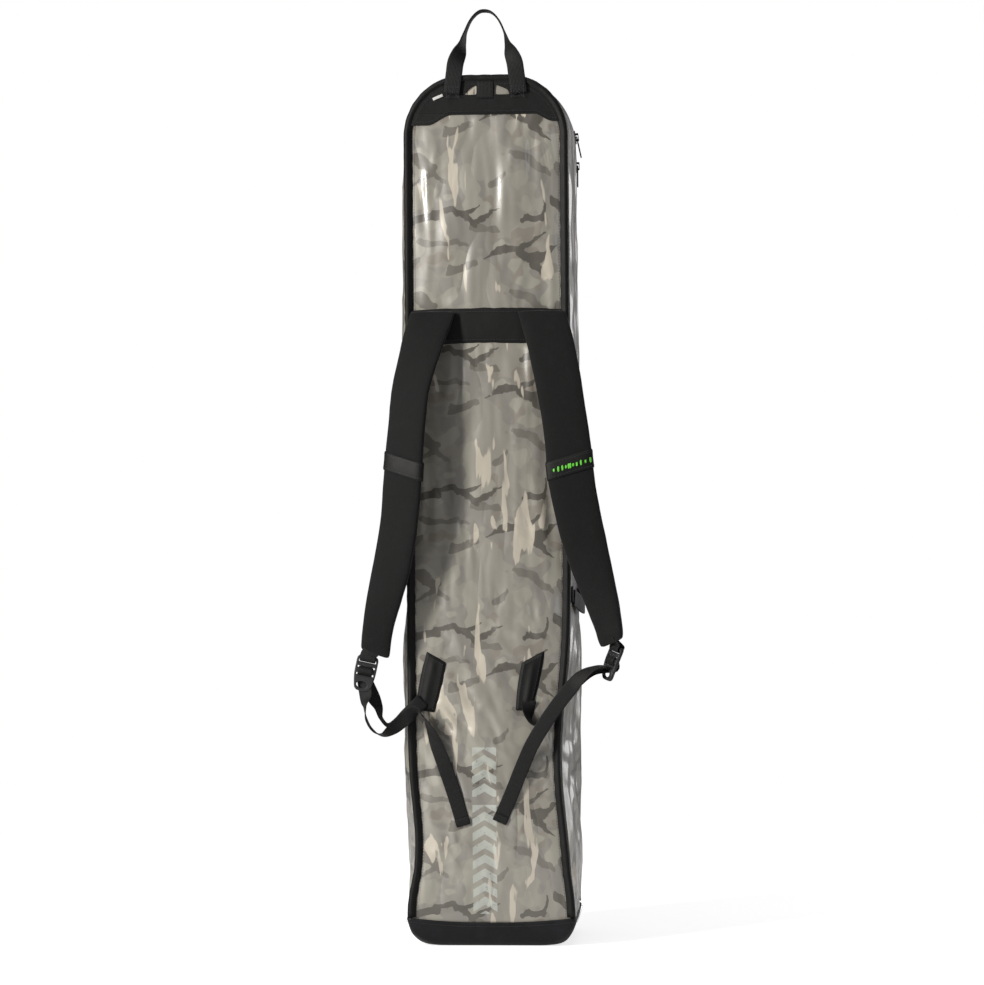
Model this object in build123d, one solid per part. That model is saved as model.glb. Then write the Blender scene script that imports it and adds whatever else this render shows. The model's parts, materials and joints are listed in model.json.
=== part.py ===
from build123d import *
import math
import os

os.makedirs("parts", exist_ok=True)

# A tall padded bag that stands on its base, with its harness side towards -Y and its zipped lid
# towards +Y. Z is up and the origin is at the middle of the base. All sizes are in millimetres.

# Driving dimensions
body_half_width = 101
body_height = 1046
half_depth = 75
corner_radius = 74
webbing_width = 20

# Black base
boot_height = 36
boot_wall = 6
boot_floor = 3
boot_round = 22
board_thickness = 3

# Wall layers
fabric = 1.2
foam = 4
face_foam = 5
lining = 1

# Piping round the back and front edges
piping_radius = 3.5

# Main zip, which runs up one side, over the top and down the other side
zip_line = 50
zip_gap = 1.6
coil_width = 3.2
coil_below = 1.7
coil_above = 0.7
tape_width = 12
tape_hidden = 1.2
tape_thickness = 1
main_zip_inset = 0.6
main_zip_end = 44

# Zip slider and its pull, drawn beside a zip whose tape lies at x = 0 and runs along z
slider_length = 16
slider_width = 13
plate_gap = 0.4
plate_thickness = 1.5
bridge_height = 3.6
pull_axis = 3.8
pull_length = 26
lower_slider_height = 947
upper_slider_angle = 8
upper_pull_lift = 4

# Patch at the top of the back
cap_low = 984
cap_middle = 1000
window_inner = 10
window_outer = 26
window_z = (1023, 1034)
loop_z = (1018, 1038)

# Harness
yoke_low = 722
yoke_high = 764
strap_thickness = 10
keeper_low = 564
keeper_high = 590
lock_width = 28
lock_height = 44
lock_thickness = 5
lock_places = {
    # middle along X and Y, lower end, turn about its upright axis in degrees
    "left": (-143, -100, 304, 0),
    "right": (154, -100, 312, 55),
}

# Lid
hinge_tape_height = 16

# Front pocket
pocket_half_width = 75
pocket_low = 470
pocket_high = 880
pocket_depth = 22
pocket_corner = 25
pocket_zip_x = 44
pocket_zip_low = 520
pocket_zip_high = 850

# Inside
divider_height = 800
stick_strap_heights = {"lower": 290, "upper": 690}
stick_strap_width = 38

corner_x = body_half_width - corner_radius
corner_z = body_height - corner_radius
wall = fabric + foam + lining
panel_half_width = body_half_width - 2 * piping_radius - 0.2
lid_low = boot_height + 2


def save(name, *solids):
    """Write one sub-part, made of one or more solids, to its own file."""
    export_step(Compound(children=list(solids)) if len(solids) > 1 else solids[0], f"parts/{name}.step")


def block(x, y, z):
    """A box given by its low and high limits along each axis."""
    size = [high - low for low, high in (x, y, z)]
    centre = [(high + low) / 2 for low, high in (x, y, z)]
    return Pos(*centre) * Box(*size)


def arch_face(half_width, low):
    """The bag's front outline: straight sides and round top corners, concentric with the body's."""
    radius = half_width - corner_x
    high = corner_z + radius
    face = Rectangle(2 * half_width, high - low)
    face = fillet(face.vertices().sort_by(Axis.Y)[-2:], radius)
    return Pos(0, (high + low) / 2) * face


def slab(face, back, front):
    """A face drawn in the front view, given its place and thickness along Y."""
    return extrude(Plane.XZ.offset(-front) * face, amount=front - back)


def arch_plate(half_width, low, back, front):
    """A flat sheet with the bag's outline."""
    return slab(arch_face(half_width, low), back, front)


def arch_wall(outer, inner, low, back, front):
    """A wall that follows the sides and the top of the outline, and is open at the bottom."""
    return arch_plate(outer, low, back, front) - arch_plate(inner, low - 10, back - 1, front + 1)


def polygon_plate(points, back, front):
    """A flat sheet with straight edges, given by its corners in the front view."""
    return slab(make_face(Polyline(*points, close=True)), back, front)


def ribbon(points, width_directions, width, thickness):
    """A flat strap of constant section through a few points, turned to face as it goes."""
    centres = [Vector(*p) for p in points]
    rings = []
    for i, centre in enumerate(centres):
        tangent = centres[min(i + 1, len(centres) - 1)] - centres[max(i - 1, 0)]
        across = Vector(*width_directions[i])
        across = across - tangent * (across.dot(tangent) / tangent.dot(tangent))
        across = across.normalized() * (width / 2)
        through = tangent.cross(across).normalized() * (thickness / 2)
        corners = [-across - through, across - through, across + through, -across + through]
        rings.append([centre + corner for corner in corners])
    faces = [flat_face(rings[0][::-1]), flat_face(rings[-1])]
    # Both broad sides are split along the same diagonal, so that they stay parallel in a twist.
    for near, far in zip(rings, rings[1:]):
        for a, b in ((0, 1), (1, 2), (3, 0)):
            faces.append(flat_face([near[a], near[b], far[b]]))
            faces.append(flat_face([near[a], far[b], far[a]]))
        faces.append(flat_face([near[2], near[3], far[2]]))
        faces.append(flat_face([near[3], far[3], far[2]]))
    return Solid(Shell(faces))


def flat_face(corners):
    return Face(Wire.make_polygon(corners, close=True))


# Shell

def piping(centre_y, low):
    """A round cord that follows the outline just inside its edge."""
    reach = body_half_width - piping_radius
    radius = reach - corner_x
    path = FilletPolyline(
        (-reach, centre_y, low),
        (-reach, centre_y, corner_z + radius),
        (reach, centre_y, corner_z + radius),
        (reach, centre_y, low),
        radius=radius,
    )
    section = Plane(origin=(-reach, centre_y, low), z_dir=(0, 0, 1)) * Circle(piping_radius)
    return sweep(section, path=path)


def back_wall():
    outer = -half_depth
    inner = outer + fabric
    save("back_panel", arch_plate(panel_half_width, boot_height, outer, inner))
    foam_face = inner + face_foam
    save("back_foam", arch_plate(panel_half_width, boot_height, inner, foam_face))
    save("back_lining", arch_plate(panel_half_width, boot_height, foam_face, foam_face + lining))
    save("back_piping", piping(-half_depth, boot_height))


def gusset():
    back = -half_depth + piping_radius + 0.1
    front = zip_line - tape_width + tape_hidden
    shell = arch_wall(body_half_width, body_half_width - fabric, boot_height, back, front)
    far = 200
    save("left_gusset", shell & block((-far, 0), (-far, far), (0, corner_z)))
    save("right_gusset", shell & block((0, far), (-far, far), (0, corner_z)))
    save("top_gusset", shell & block((-far, far), (-far, far), (corner_z, body_height + far)))
    foam_outer = body_half_width - fabric
    foam_front = zip_line - tape_width
    foam_inner = foam_outer - foam
    lining_inner = body_half_width - wall
    save("gusset_foam", arch_wall(foam_outer, foam_inner, boot_height, back, foam_front))
    save("gusset_lining", arch_wall(foam_inner, lining_inner, boot_height, back, foam_front))


def cup(half_x, half_y, low, high, end_round):
    """A block whose two ends are rounded off where they meet the ground."""
    solid = block((-half_x, half_x), (-half_y, half_y), (low, high))
    return fillet(solid.edges().filter_by(Axis.Y).group_by(Axis.Z)[0], end_round)


def base():
    half_x = body_half_width + 2
    half_y = half_depth + 4.5
    outside = cup(half_x, half_y, 0, boot_height, boot_round)
    inside = cup(half_x - boot_wall, half_y - boot_wall, boot_floor, boot_height + 10, boot_round - boot_wall)
    save("base_boot", outside - inside)
    board_half_x = half_x - boot_round
    board_half_y = half_y - boot_wall - 8
    board_top = boot_floor + board_thickness
    board = block((-board_half_x, board_half_x), (-board_half_y, board_half_y), (boot_floor, board_top))
    save("base_board", fillet(board.edges().filter_by(Axis.Z), 6))


def top_cap():
    """A black patch over the top of the back panel, with two windows beside the hanging loop."""
    back = -half_depth - 1.5
    beyond = body_half_width + 20
    lower_edge = [(-beyond, cap_low), (-52, cap_middle), (64, cap_middle), (beyond, cap_low - 1)]
    edge = lower_edge + [(beyond, body_height + 50), (-beyond, body_height + 50)]
    cap = arch_plate(panel_half_width, boot_height, back, -half_depth)
    cap = cap & polygon_plate(edge, back, -half_depth)
    for window_x in ((-window_outer, -window_inner), (window_inner, window_outer)):
        cap = cap - block(window_x, (back - 1, 0), window_z)
    save("top_cap", cap)
    loop_half = window_inner - 0.5
    save("hanging_loop", block((-loop_half, loop_half), (back - 2, back), loop_z))


def harness_anchors():
    """The yoke that carries the shoulder straps, and the two wings that hold the lower webbing."""
    surface = -half_depth
    yoke_x = (-panel_half_width, panel_half_width)
    save("shoulder_yoke", block(yoke_x, (surface - 2.5, surface), (yoke_low, yoke_high)))
    wings = {
        "left": [(-77, 356), (-53, 341), (-68, 282), (-91, 284)],
        "right": [(71, 356), (42, 341), (36, 284), (58, 284)],
    }
    for side, corners in wings.items():
        save(f"{side}_anchor_wing", polygon_plate(corners, surface - 3, surface))


# Handles

handle_x = 38
handle_plane = -half_depth - piping_radius - 1.2
handle_pivot = body_height + 1.9


def top_handle():
    foot_half = webbing_width / 2
    cap_face = -half_depth - 1.6
    for side, sign in (("left", -1), ("right", 1)):
        x = sorted((sign * (handle_x - foot_half), sign * (handle_x + foot_half)))
        lower = block(x, (handle_plane - 0.9, cap_face), (1018, 1034))
        upper = block(x, (handle_plane - 0.9, handle_plane + 0.9), (1034, body_height))
        save(f"{side}_handle_foot", lower + upper)
    half_loop = [
        # x, height above the pivot, share of the turn from facing back to facing sideways
        (38, 1, 0.0),
        (36, 14, 0.1),
        (31, 26, 0.45),
        (27.5, 36, 0.85),
        (23, 50, 1.0),
        (16, 65, 1.0),
        (7, 74, 1.0),
    ]
    points = []
    faces = []
    for x, height, turn in half_loop:
        points.append((-x, handle_plane, handle_pivot + height))
        angle = math.radians(90 * turn)
        faces.append((math.cos(angle), math.sin(angle), 0))
    for x, height, turn in reversed(half_loop):
        points.append((x, handle_plane, handle_pivot + height))
        angle = math.radians(90 * turn)
        faces.append((-math.cos(angle), math.sin(angle), 0))
    save("top_handle", ribbon(points, faces, webbing_width - 1, 2.2))


def side_handle():
    """A webbing grip that hangs across the right gusset between two sewn feet."""
    top = 430
    feet_y = ((-70, -59), (27, 38))
    face = body_half_width + 0.1
    feet = [block((face, face + 2), y, (top - 20, top + 4)) for y in feet_y]
    save("side_handle_feet", *feet)
    route = [
        # y, distance from the gusset, drop of the upper edge
        (-54, 2.8, 1),
        (-46, 6, 4),
        (-33, 10, 9),
        (-16, 12, 11),
        (1, 10, 9),
        (14, 6, 4),
        (22, 2.8, 1),
    ]
    half = webbing_width / 2
    points = [(body_half_width + out, y, top - drop - half) for y, out, drop in route]
    save("side_handle", ribbon(points, [(0, 0, 1)] * len(points), webbing_width, 2.4))


# Shoulder straps

strap_stations = {
    # height, middle, width, place of the back face, turn of the face away from the middle in degrees
    "left": [
        (763, -62, 54, -78.4, 0),
        (740, -72, 54, -85, 8),
        (700, -82, 53, -96, 20),
        (670, -90, 52, -102, 28),
        (620, -95, 52, -107, 30),
        (560, -99, 52, -109, 25),
        (500, -105, 52, -107, 25),
        (448, -115, 50, -103, 20),
        (395, -129, 40, -99, 10),
        (352, -136, 34, -96, 4),
    ],
    "right": [
        (763, 64, 58, -78.4, 0),
        (740, 73, 58, -84, 0),
        (700, 82, 57, -93, 0),
        (670, 88, 55, -100, 0),
        (620, 96, 54, -106, 0),
        (560, 101, 56, -108, 0),
        (500, 112, 55, -106, 0),
        (448, 126, 50, -103, -8),
        (400, 140, 42, -101, -25),
        (364, 149, 34, -100, -45),
    ],
}


def strap_section(side, height, margin=0):
    """The strap's level section at one height, worked out between its stations."""
    stations = strap_stations[side]
    for upper, lower in zip(stations, stations[1:]):
        if lower[0] <= height <= upper[0]:
            break
    share = (upper[0] - height) / (upper[0] - lower[0])
    middle, width, back, turn = [a + (b - a) * share for a, b in zip(upper[1:], lower[1:])]
    depth = strap_thickness + 2 * margin
    section = Rectangle(width + 2 * margin, depth)
    sign = -1 if side == "left" else 1
    place = Pos(middle, back - strap_thickness / 2, height) * Rot(0, 0, sign * turn)
    return place * section


def ladder_lock():
    """A buckle with a bar for the pad's loop, a bar for the webbing and a tab to lift."""
    y = (-lock_thickness / 2, lock_thickness / 2)
    plate = block((-lock_width / 2, lock_width / 2), y, (0, lock_height))
    plate = fillet(plate.edges().filter_by(Axis.Y), 5)
    openings = [
        (22, lock_height - 11, lock_height - 6),
        (22, lock_height - 21, lock_height - 15),
        (15, 4, 13),
    ]
    for width, bottom, top in openings:
        plate = plate - block((-width / 2, width / 2), (y[0] - 1, y[1] + 1), (bottom, top))
    return plate


def lock_loop(top):
    """The short loop of webbing that ties the ladder lock to the end of the pad."""
    half = webbing_width / 2
    skin = 1.3
    inner = lock_thickness / 2 + 0.3
    bottom = lock_height - 10
    outer = block((-half, half), (-inner - skin, inner + skin), (bottom, top))
    hollow = block((-half - 1, half + 1), (-inner, inner), (bottom + skin, top - 2))
    return outer - hollow


def shoulder_straps():
    for side, stations in strap_stations.items():
        pad = loft([strap_section(side, s[0]) for s in stations], ruled=True)
        save(f"{side}_strap_pad", pad)
        sleeve_heights = (keeper_high, (keeper_high + keeper_low) / 2, keeper_low)
        sleeve = loft([strap_section(side, z, 1.6) for z in sleeve_heights], ruled=True)
        save(f"{side}_strap_keeper", sleeve - pad)
        x, y, low, turn = lock_places[side]
        place = Pos(x, y, low) * Rot(0, 0, -turn)
        save(f"{side}_ladder_lock", place * ladder_lock())
        pad_end = stations[-1][0]
        save(f"{side}_lock_loop", place * lock_loop(pad_end - low))


def adjuster_webbing():
    """Each side's webbing, from its anchor wing to the ladder lock and back down as a free tail."""
    left_run = {
        (-143, -95.6, 331): (1, 0, 0),
        (-144, -95, 302): (1, 0, 0),
        (-146, -93.5, 290): (0.5, 1, 0),
        (-144, -92.5, 279): (0, 1, 0),
        (-135, -91.5, 265): (0, 1, 0),
        (-121, -89, 262): (0, 1, 0.5),
        (-105, -85.5, 271): (-0.4, 0.5, 0.8),
        (-88, -82.5, 281): (-0.4, 0, 0.9),
    }
    right_run = {
        (148.8, -103.5, 326): (0.57, -0.82, 0),
        (143, -100, 319): (0.6, -0.6, -0.5),
        (128, -94, 310): (0.6, 0, -0.8),
        (104, -88.5, 296): (0.6, 0, -0.8),
        (81, -86.5, 279): (0.6, -0.4, -0.8),
        (67, -88, 267): (0.3, -0.9, -0.4),
        (56, -88, 263): (0, -1, 0),
        (49, -86.5, 270): (-0.7, -0.7, 0),
        (47, -82, 283): (-1, 0, 0),
    }
    left_tail = {
        (-143, -104.6, 331): (1, 0, 0),
        (-145, -105.5, 302): (1, 0, 0),
        (-150, -105, 287): (0.5, -1, 0),
        (-149, -102, 271): (0, -1, 0),
        (-139, -100, 252): (0, -1, 0),
        (-123, -98, 247): (0, -1, -0.3),
        (-107, -96, 256): (0.2, -1, -0.4),
        (-91, -94, 264): (0.2, -1, -0.2),
        (-78, -91, 260): (0, -1, 0),
        (-68, -88.5, 246): (-0.2, -1, 0),
        (-60, -84.5, 229): (-0.8, -0.6, -0.3),
        (-50, -80.6, 206): (-0.9, -0.1, -0.4),
        (-39, -79.6, 176): (-0.93, 0, -0.33),
        (-29, -79, 145): (-0.95, 0, -0.3),
    }
    right_tail = {
        (147, -104.9, 343): (0.57, -0.82, 0),
        (141, -107, 333): (0.7, -0.5, -0.4),
        (131, -106, 322): (0.6, 0, -0.8),
        (117, -103.5, 309): (0.5, 0.5, -0.7),
        (98, -101, 293): (0.55, 0.2, -0.83),
        (78, -100, 272): (0.7, 0, -0.7),
        (61, -98, 247): (0.85, 0, -0.5),
        (45, -90, 214): (0.92, 0, -0.38),
        (29, -82, 178): (0.93, 0, -0.36),
        (15, -79, 148): (0.93, 0, -0.36),
    }
    straps = {
        "left_adjuster_run": left_run,
        "right_adjuster_run": right_run,
        "left_adjuster_tail": left_tail,
        "right_adjuster_tail": right_tail,
    }
    for name, route in straps.items():
        save(name, ribbon(list(route), list(route.values()), webbing_width - 1, 1.5))


# Zips

def zip_ring(first, second, inset_out, inset_in):
    """Half of the main zip, a strip that follows the sides and the top between two depths."""
    face = body_half_width - main_zip_inset
    back, front = sorted((first, second))
    return arch_wall(face - inset_out, face - inset_in, main_zip_end, back, front)


def main_zip():
    for owner, sign in (("body", -1), ("lid", 1)):
        edge = zip_line + sign * zip_gap / 2
        coil_end = edge + sign * coil_width
        save(f"{owner}_zip_coil", zip_ring(edge, coil_end, -coil_above, coil_below))
        tape_end = edge + sign * (tape_width - 2.1)
        save(f"{owner}_zip_tape", zip_ring(coil_end, tape_end, 0, tape_thickness))


def slider_solid(inner_rows):
    """A slider about the zip's line: two plates, the post between the rows and the pull's bridge."""
    half = slider_length / 2
    outer_low = coil_above + plate_gap
    outer_high = outer_low + plate_thickness
    outer = block((outer_low, outer_high), (-slider_width / 2, slider_width / 2), (-half, half))
    outer = fillet(outer.edges().filter_by(Axis.X), 3)
    inner_high = -coil_below - 2 * plate_gap
    inner = block((inner_high - plate_thickness, inner_high), inner_rows, (-half, half))
    post = block((inner_high - 0.5, outer_low + 0.5), (-0.5, 0.5), (-2, 6))
    bridge = block((outer_high - 0.3, outer_high + bridge_height), (-1.2, 1.2), (-5, 5))
    bridge = fillet(bridge.edges().group_by(Axis.X)[-1].filter_by(Axis.Y), 1)
    eye = block((outer_high, pull_axis + 1.6), (-2, 2), (-2.4, 2.4))
    return outer + inner + post + (bridge - eye)


def pull_solid():
    """A pull that hangs from the bridge: a cross bar, two arms and a tab."""
    bar = Pos(pull_axis, 0, 0) * Rot(90, 0, 0) * Cylinder(0.9, 7)
    arms = block((pull_axis - 0.8, pull_axis + 0.8), (-3.5, -1.7), (-9, 0))
    arms += block((pull_axis - 0.8, pull_axis + 0.8), (1.7, 3.5), (-9, 0))
    tab = block((pull_axis - 0.8, pull_axis + 0.8), (-3.5, 3.5), (-pull_length, -8))
    tab = fillet(tab.edges().filter_by(Axis.X).group_by(Axis.Z)[0], 3)
    return bar + arms + tab


def main_sliders():
    lid_row_only = (-0.5, 6)
    face = body_half_width - main_zip_inset
    low_place = Pos(face, zip_line, lower_slider_height)
    save("lower_slider", low_place * slider_solid(lid_row_only))
    save("lower_slider_pull", low_place * pull_solid())
    turn = Pos(corner_x, zip_line, corner_z) * Rot(0, -upper_slider_angle, 0) * Pos(face - corner_x, 0, 0)
    save("upper_slider", turn * slider_solid(lid_row_only))
    lift = Pos(pull_axis, 0, 0) * Rot(0, -upper_pull_lift, 0) * Pos(-pull_axis, 0, 0)
    save("upper_slider_pull", turn * lift * pull_solid())


# Lid

def lid():
    outer = half_depth
    inner = outer - fabric
    save("lid_panel", arch_plate(panel_half_width, lid_low, inner, outer))
    foam_face = inner - face_foam
    save("lid_foam", arch_plate(panel_half_width, lid_low, foam_face, inner))
    save("lid_lining", arch_plate(panel_half_width, lid_low, foam_face - lining, foam_face))
    side_front = outer - piping_radius - 0.1
    side_back = zip_line + tape_width - tape_hidden
    side = arch_wall(body_half_width, body_half_width - fabric, lid_low, side_back, side_front)
    save("lid_side", side)
    save("lid_piping", piping(half_depth, lid_low))
    hinge_x = (-panel_half_width, panel_half_width)
    save("lid_hinge_tape", block(hinge_x, (outer, outer + 1), (lid_low, lid_low + hinge_tape_height)))


def pocket_outline(half_width, low, high, corner):
    face = Rectangle(2 * half_width, high - low)
    face = fillet(face.vertices(), corner)
    return Pos(0, (high + low) / 2) * face


def wall_stretches(ring, front):
    """The pocket's wall, cut where its straight stretches meet its round corners."""
    straight = pocket_half_width - pocket_corner
    x_cuts = (-pocket_half_width, -straight, straight, pocket_half_width)
    z_cuts = (pocket_low, pocket_low + pocket_corner, pocket_high - pocket_corner, pocket_high)
    stretches = []
    for i in range(3):
        for j in range(3):
            if (i, j) != (1, 1):
                cell = block(x_cuts[i : i + 2], (half_depth, front), z_cuts[j : j + 2])
                stretches.append(ring & cell)
    return stretches


def front_pocket():
    front = half_depth + pocket_depth
    outer = pocket_outline(pocket_half_width, pocket_low, pocket_high, pocket_corner)
    inner = pocket_outline(
        pocket_half_width - fabric, pocket_low + fabric, pocket_high - fabric, pocket_corner - fabric
    )
    ring = slab(outer, half_depth, front - fabric) - slab(inner, half_depth - 1, front)
    save("pocket_gusset", *wall_stretches(ring, front))
    slot_half = tape_width - 3
    slot_z = (pocket_zip_low - 4, pocket_zip_high + 4)
    slot = block((pocket_zip_x - slot_half, pocket_zip_x + slot_half), (0, front + 5), slot_z)
    save("pocket_panel", slab(outer, front - fabric, front) - slot)
    coils = []
    tapes = []
    tape_face = front - 0.1
    for sign in (-1, 1):
        edge = pocket_zip_x + sign * zip_gap / 2
        coil_end = edge + sign * coil_width
        tape_end = pocket_zip_x + sign * slot_half
        z = (pocket_zip_low, pocket_zip_high)
        coil_y = (tape_face - coil_below, tape_face + coil_above)
        coils.append(block(sorted((edge, coil_end)), coil_y, z))
        tapes.append(block(sorted((coil_end, tape_end)), (tape_face - tape_thickness, tape_face), z))
    save("pocket_zip_coil", *coils)
    save("pocket_zip_tape", *tapes)
    place = Pos(pocket_zip_x, tape_face, pocket_zip_high - 14) * Rot(0, 0, 90)
    both_rows = (-6, 6)
    save("pocket_slider", place * slider_solid(both_rows))
    save("pocket_slider_pull", place * pull_solid())


# Inside

def inside():
    back = -half_depth + fabric + face_foam + lining
    divider = block((-3, 3), (back, 30), (boot_height + 4, divider_height))
    save("stick_divider", fillet(divider.edges().filter_by(Axis.X).group_by(Axis.Y)[-1], 20))
    reach = body_half_width - wall
    for name, low in stick_strap_heights.items():
        band = block((-reach, reach), (32, 34), (low, low + stick_strap_width))
        save(f"{name}_stick_strap", band)


back_wall()
gusset()
base()
top_cap()
harness_anchors()
top_handle()
side_handle()
shoulder_straps()
adjuster_webbing()
main_zip()
main_sliders()
lid()
front_pocket()
inside()
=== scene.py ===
import json
import math

import bmesh
import bpy
import numpy as np
from mathutils import Matrix, Vector, noise


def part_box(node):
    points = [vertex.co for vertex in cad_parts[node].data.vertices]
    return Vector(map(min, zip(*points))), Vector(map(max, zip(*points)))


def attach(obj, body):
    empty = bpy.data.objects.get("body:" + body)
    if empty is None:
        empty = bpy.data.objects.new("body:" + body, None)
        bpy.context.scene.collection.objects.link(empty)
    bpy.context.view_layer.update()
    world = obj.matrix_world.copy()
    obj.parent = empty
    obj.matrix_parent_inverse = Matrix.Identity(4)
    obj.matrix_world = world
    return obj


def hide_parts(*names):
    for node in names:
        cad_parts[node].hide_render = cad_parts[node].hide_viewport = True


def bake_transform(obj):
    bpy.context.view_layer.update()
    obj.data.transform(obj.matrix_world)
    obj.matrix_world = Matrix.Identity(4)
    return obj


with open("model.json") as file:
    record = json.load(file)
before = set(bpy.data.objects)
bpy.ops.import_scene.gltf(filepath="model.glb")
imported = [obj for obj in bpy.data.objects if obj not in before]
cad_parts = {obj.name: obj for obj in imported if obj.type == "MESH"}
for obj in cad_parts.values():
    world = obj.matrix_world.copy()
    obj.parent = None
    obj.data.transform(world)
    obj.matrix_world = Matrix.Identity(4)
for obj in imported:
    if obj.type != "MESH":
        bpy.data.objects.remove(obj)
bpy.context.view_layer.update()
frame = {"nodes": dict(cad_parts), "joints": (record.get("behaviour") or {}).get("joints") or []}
scene = bpy.context.scene
scene.view_settings.view_transform = "Standard"

MM = 0.001

# Places that the frame gives
body_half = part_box("right_gusset")[1].x
corner_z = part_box("right_gusset")[1].z
body_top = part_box("top_gusset")[1].z
boot_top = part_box("base_boot")[1].z
back_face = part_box("back_panel")[0].y
lid_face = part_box("lid_panel")[1].y
lid_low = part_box("lid_panel")[0].z
panel_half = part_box("back_panel")[1].x
gusset_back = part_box("right_gusset")[0].y
gusset_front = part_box("right_gusset")[1].y
yoke_low, yoke_high = (corner.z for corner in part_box("shoulder_yoke"))
handle_pivot = next(j for j in frame["joints"] if j["name"] == "top_handle_flop")["pos_m"][2]
grip_level = (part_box("side_handle_feet")[0].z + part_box("side_handle_feet")[1].z) / 2
corner_x = body_half - (body_top - corner_z)

# The stuffed bag's own shape
back_crown = 4 * MM
swell_depth = 6.5 * MM
crease_depth = 2.8 * MM
cloth_thickness = 0.7 * MM
sheet_step = 4 * MM
cloth_frames = 22
# How much larger than its place the cloth is cut, across and along, so that it buckles
face_excess = (1.03, 1.012)
side_excess = (1.03, 1.01)

# Sewing
stitch_size = (2.7 * MM, 0.55 * MM, 0.5 * MM)
stitch_pitch = 3.6 * MM
edge_seam = 5 * MM


# Numbers

def rise(value, low, high):
    """0 below low, 1 above high and smooth between them."""
    share = np.clip((np.asarray(value, float) - low) / (high - low), 0, 1)
    return share * share * (3 - 2 * share)


def hump(value, middle, spread):
    """1 at the middle, falling to nothing on both sides."""
    return np.exp(-(((np.asarray(value, float) - middle) / spread) ** 2))


def wrinkle(points, scale, seed, detail=3):
    """Smooth noise at each point, from about -1 to 1. scale is a size in metres along each axis."""
    offset = Vector((seed * 7.31, seed * 3.17, seed * 5.71))
    places = np.reshape(points, (-1, 3)) / scale
    heights = [noise.fractal(Vector(place) + offset, 1.0, 2.0, detail) for place in places]
    return np.reshape(heights, np.shape(points)[:-1])


def grid_of(x, y, z):
    """Points from their coordinates, each a number or an array."""
    return np.stack(np.broadcast_arrays(x, y, z), axis=-1).astype(float)


def unit(vectors):
    return vectors / np.linalg.norm(vectors, axis=-1, keepdims=True)


def squared_off(share, power):
    """A share between -1 and 1 pushed towards its ends, which makes a round section boxier."""
    return np.sign(share) * np.abs(share) ** power


def round_angles(count):
    return np.linspace(0, 2 * math.pi, count, endpoint=False)


def length_along(points):
    """The distance of each point from the first one, along the line that they make."""
    return np.concatenate([[0], np.cumsum(np.linalg.norm(np.diff(points, axis=0), axis=1))])


def between(at, places, rows):
    """Values between rows that are known at some places."""
    return np.stack([np.interp(at, places, column) for column in np.transpose(rows)], axis=-1)


def curve_through(points, step):
    """Evenly spaced points on a smooth line through the given ones, with each one's place among them."""
    given = np.array(points, float)
    padded = np.vstack([2 * given[0] - given[1], given, 2 * given[-1] - given[-2]])
    fine = []
    shares = []
    for i in range(len(given) - 1):
        a, b, c, d = padded[i:i + 4]
        for t in np.linspace(0, 1, 24, endpoint=False):
            fine.append(0.5 * (2 * b + (c - a) * t + (2 * a - 5 * b + 4 * c - d) * t * t
                               + (3 * b - a - 3 * c + d) * t ** 3))
            shares.append(i + t)
    fine.append(given[-1])
    shares.append(len(given) - 1)
    along = length_along(fine)
    even = np.linspace(0, along[-1], max(2, int(round(along[-1] / step)) + 1))
    return between(even, along, fine), np.interp(even, along, shares)


# Shape of the stuffed bag

def back_inset(x, z):
    """How far the back edge is drawn in on each side."""
    sewn = rise(z, boot_top, boot_top + 60 * MM)
    left = 2 * MM + 8 * MM * hump(z, 125 * MM, 65 * MM)
    right = 2.5 * MM + 14 * MM * hump(z, 225 * MM, 110 * MM)
    return np.where(x < 0, left, right) * sewn


def held_flat(z):
    """1 where the side grip is sewn on and holds the side flat, falling to nothing above and below."""
    return hump(z, grip_level, 40 * MM)


def side_swell(depth, z):
    """How far the sides stand out. depth is 0 at the zip and 1 at the back edge."""
    height = rise(z, boot_top, boot_top + 90 * MM) * (1 - 0.8 * rise(z, 600 * MM, 960 * MM))
    return swell_depth * 4 * depth * (1 - depth) * height * (1 - 0.9 * held_flat(z))


def stuffed(points):
    """Moves points of the plain shell to where the stuffed bag has them."""
    x, y, z = np.moveaxis(np.array(points, float), -1, 0)
    depth = np.clip((gusset_front - y) / (gusset_front - back_face), 0, 1)
    push = side_swell(depth, z) - back_inset(x, z) * rise(depth, 0, 1)
    flat_edges = 1 - np.clip(np.abs(x) / panel_half, 0, 1) ** 2
    ends = rise(z, boot_top, boot_top + 90 * MM) * (1 - rise(z, corner_z - 60 * MM, body_top))
    crown = back_crown * flat_edges * ends * rise(depth, 0.85, 1)
    return grid_of(x + push * x / body_half, y - crown, z)


def arch(reach, base, step):
    """Points and outward directions along the bag's outline, from the left foot over the top."""
    radius = reach - corner_x
    side = corner_z - base
    quarter = radius * math.pi / 2
    total = 2 * (side + quarter + corner_x)
    along = np.linspace(0, total, int(round(total / step)) + 1)
    from_end = np.minimum(along, total - along)
    angle = np.clip((from_end - side) / radius, 0, math.pi / 2)
    over = np.clip(from_end - side - quarter, 0, corner_x)
    sign = np.where(along < total / 2, -1, 1)
    x = sign * (corner_x + radius * np.cos(angle) - over)
    z = base + np.minimum(from_end, side) + radius * np.sin(angle)
    return along, x, z, sign * np.cos(angle), np.sin(angle)


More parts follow.
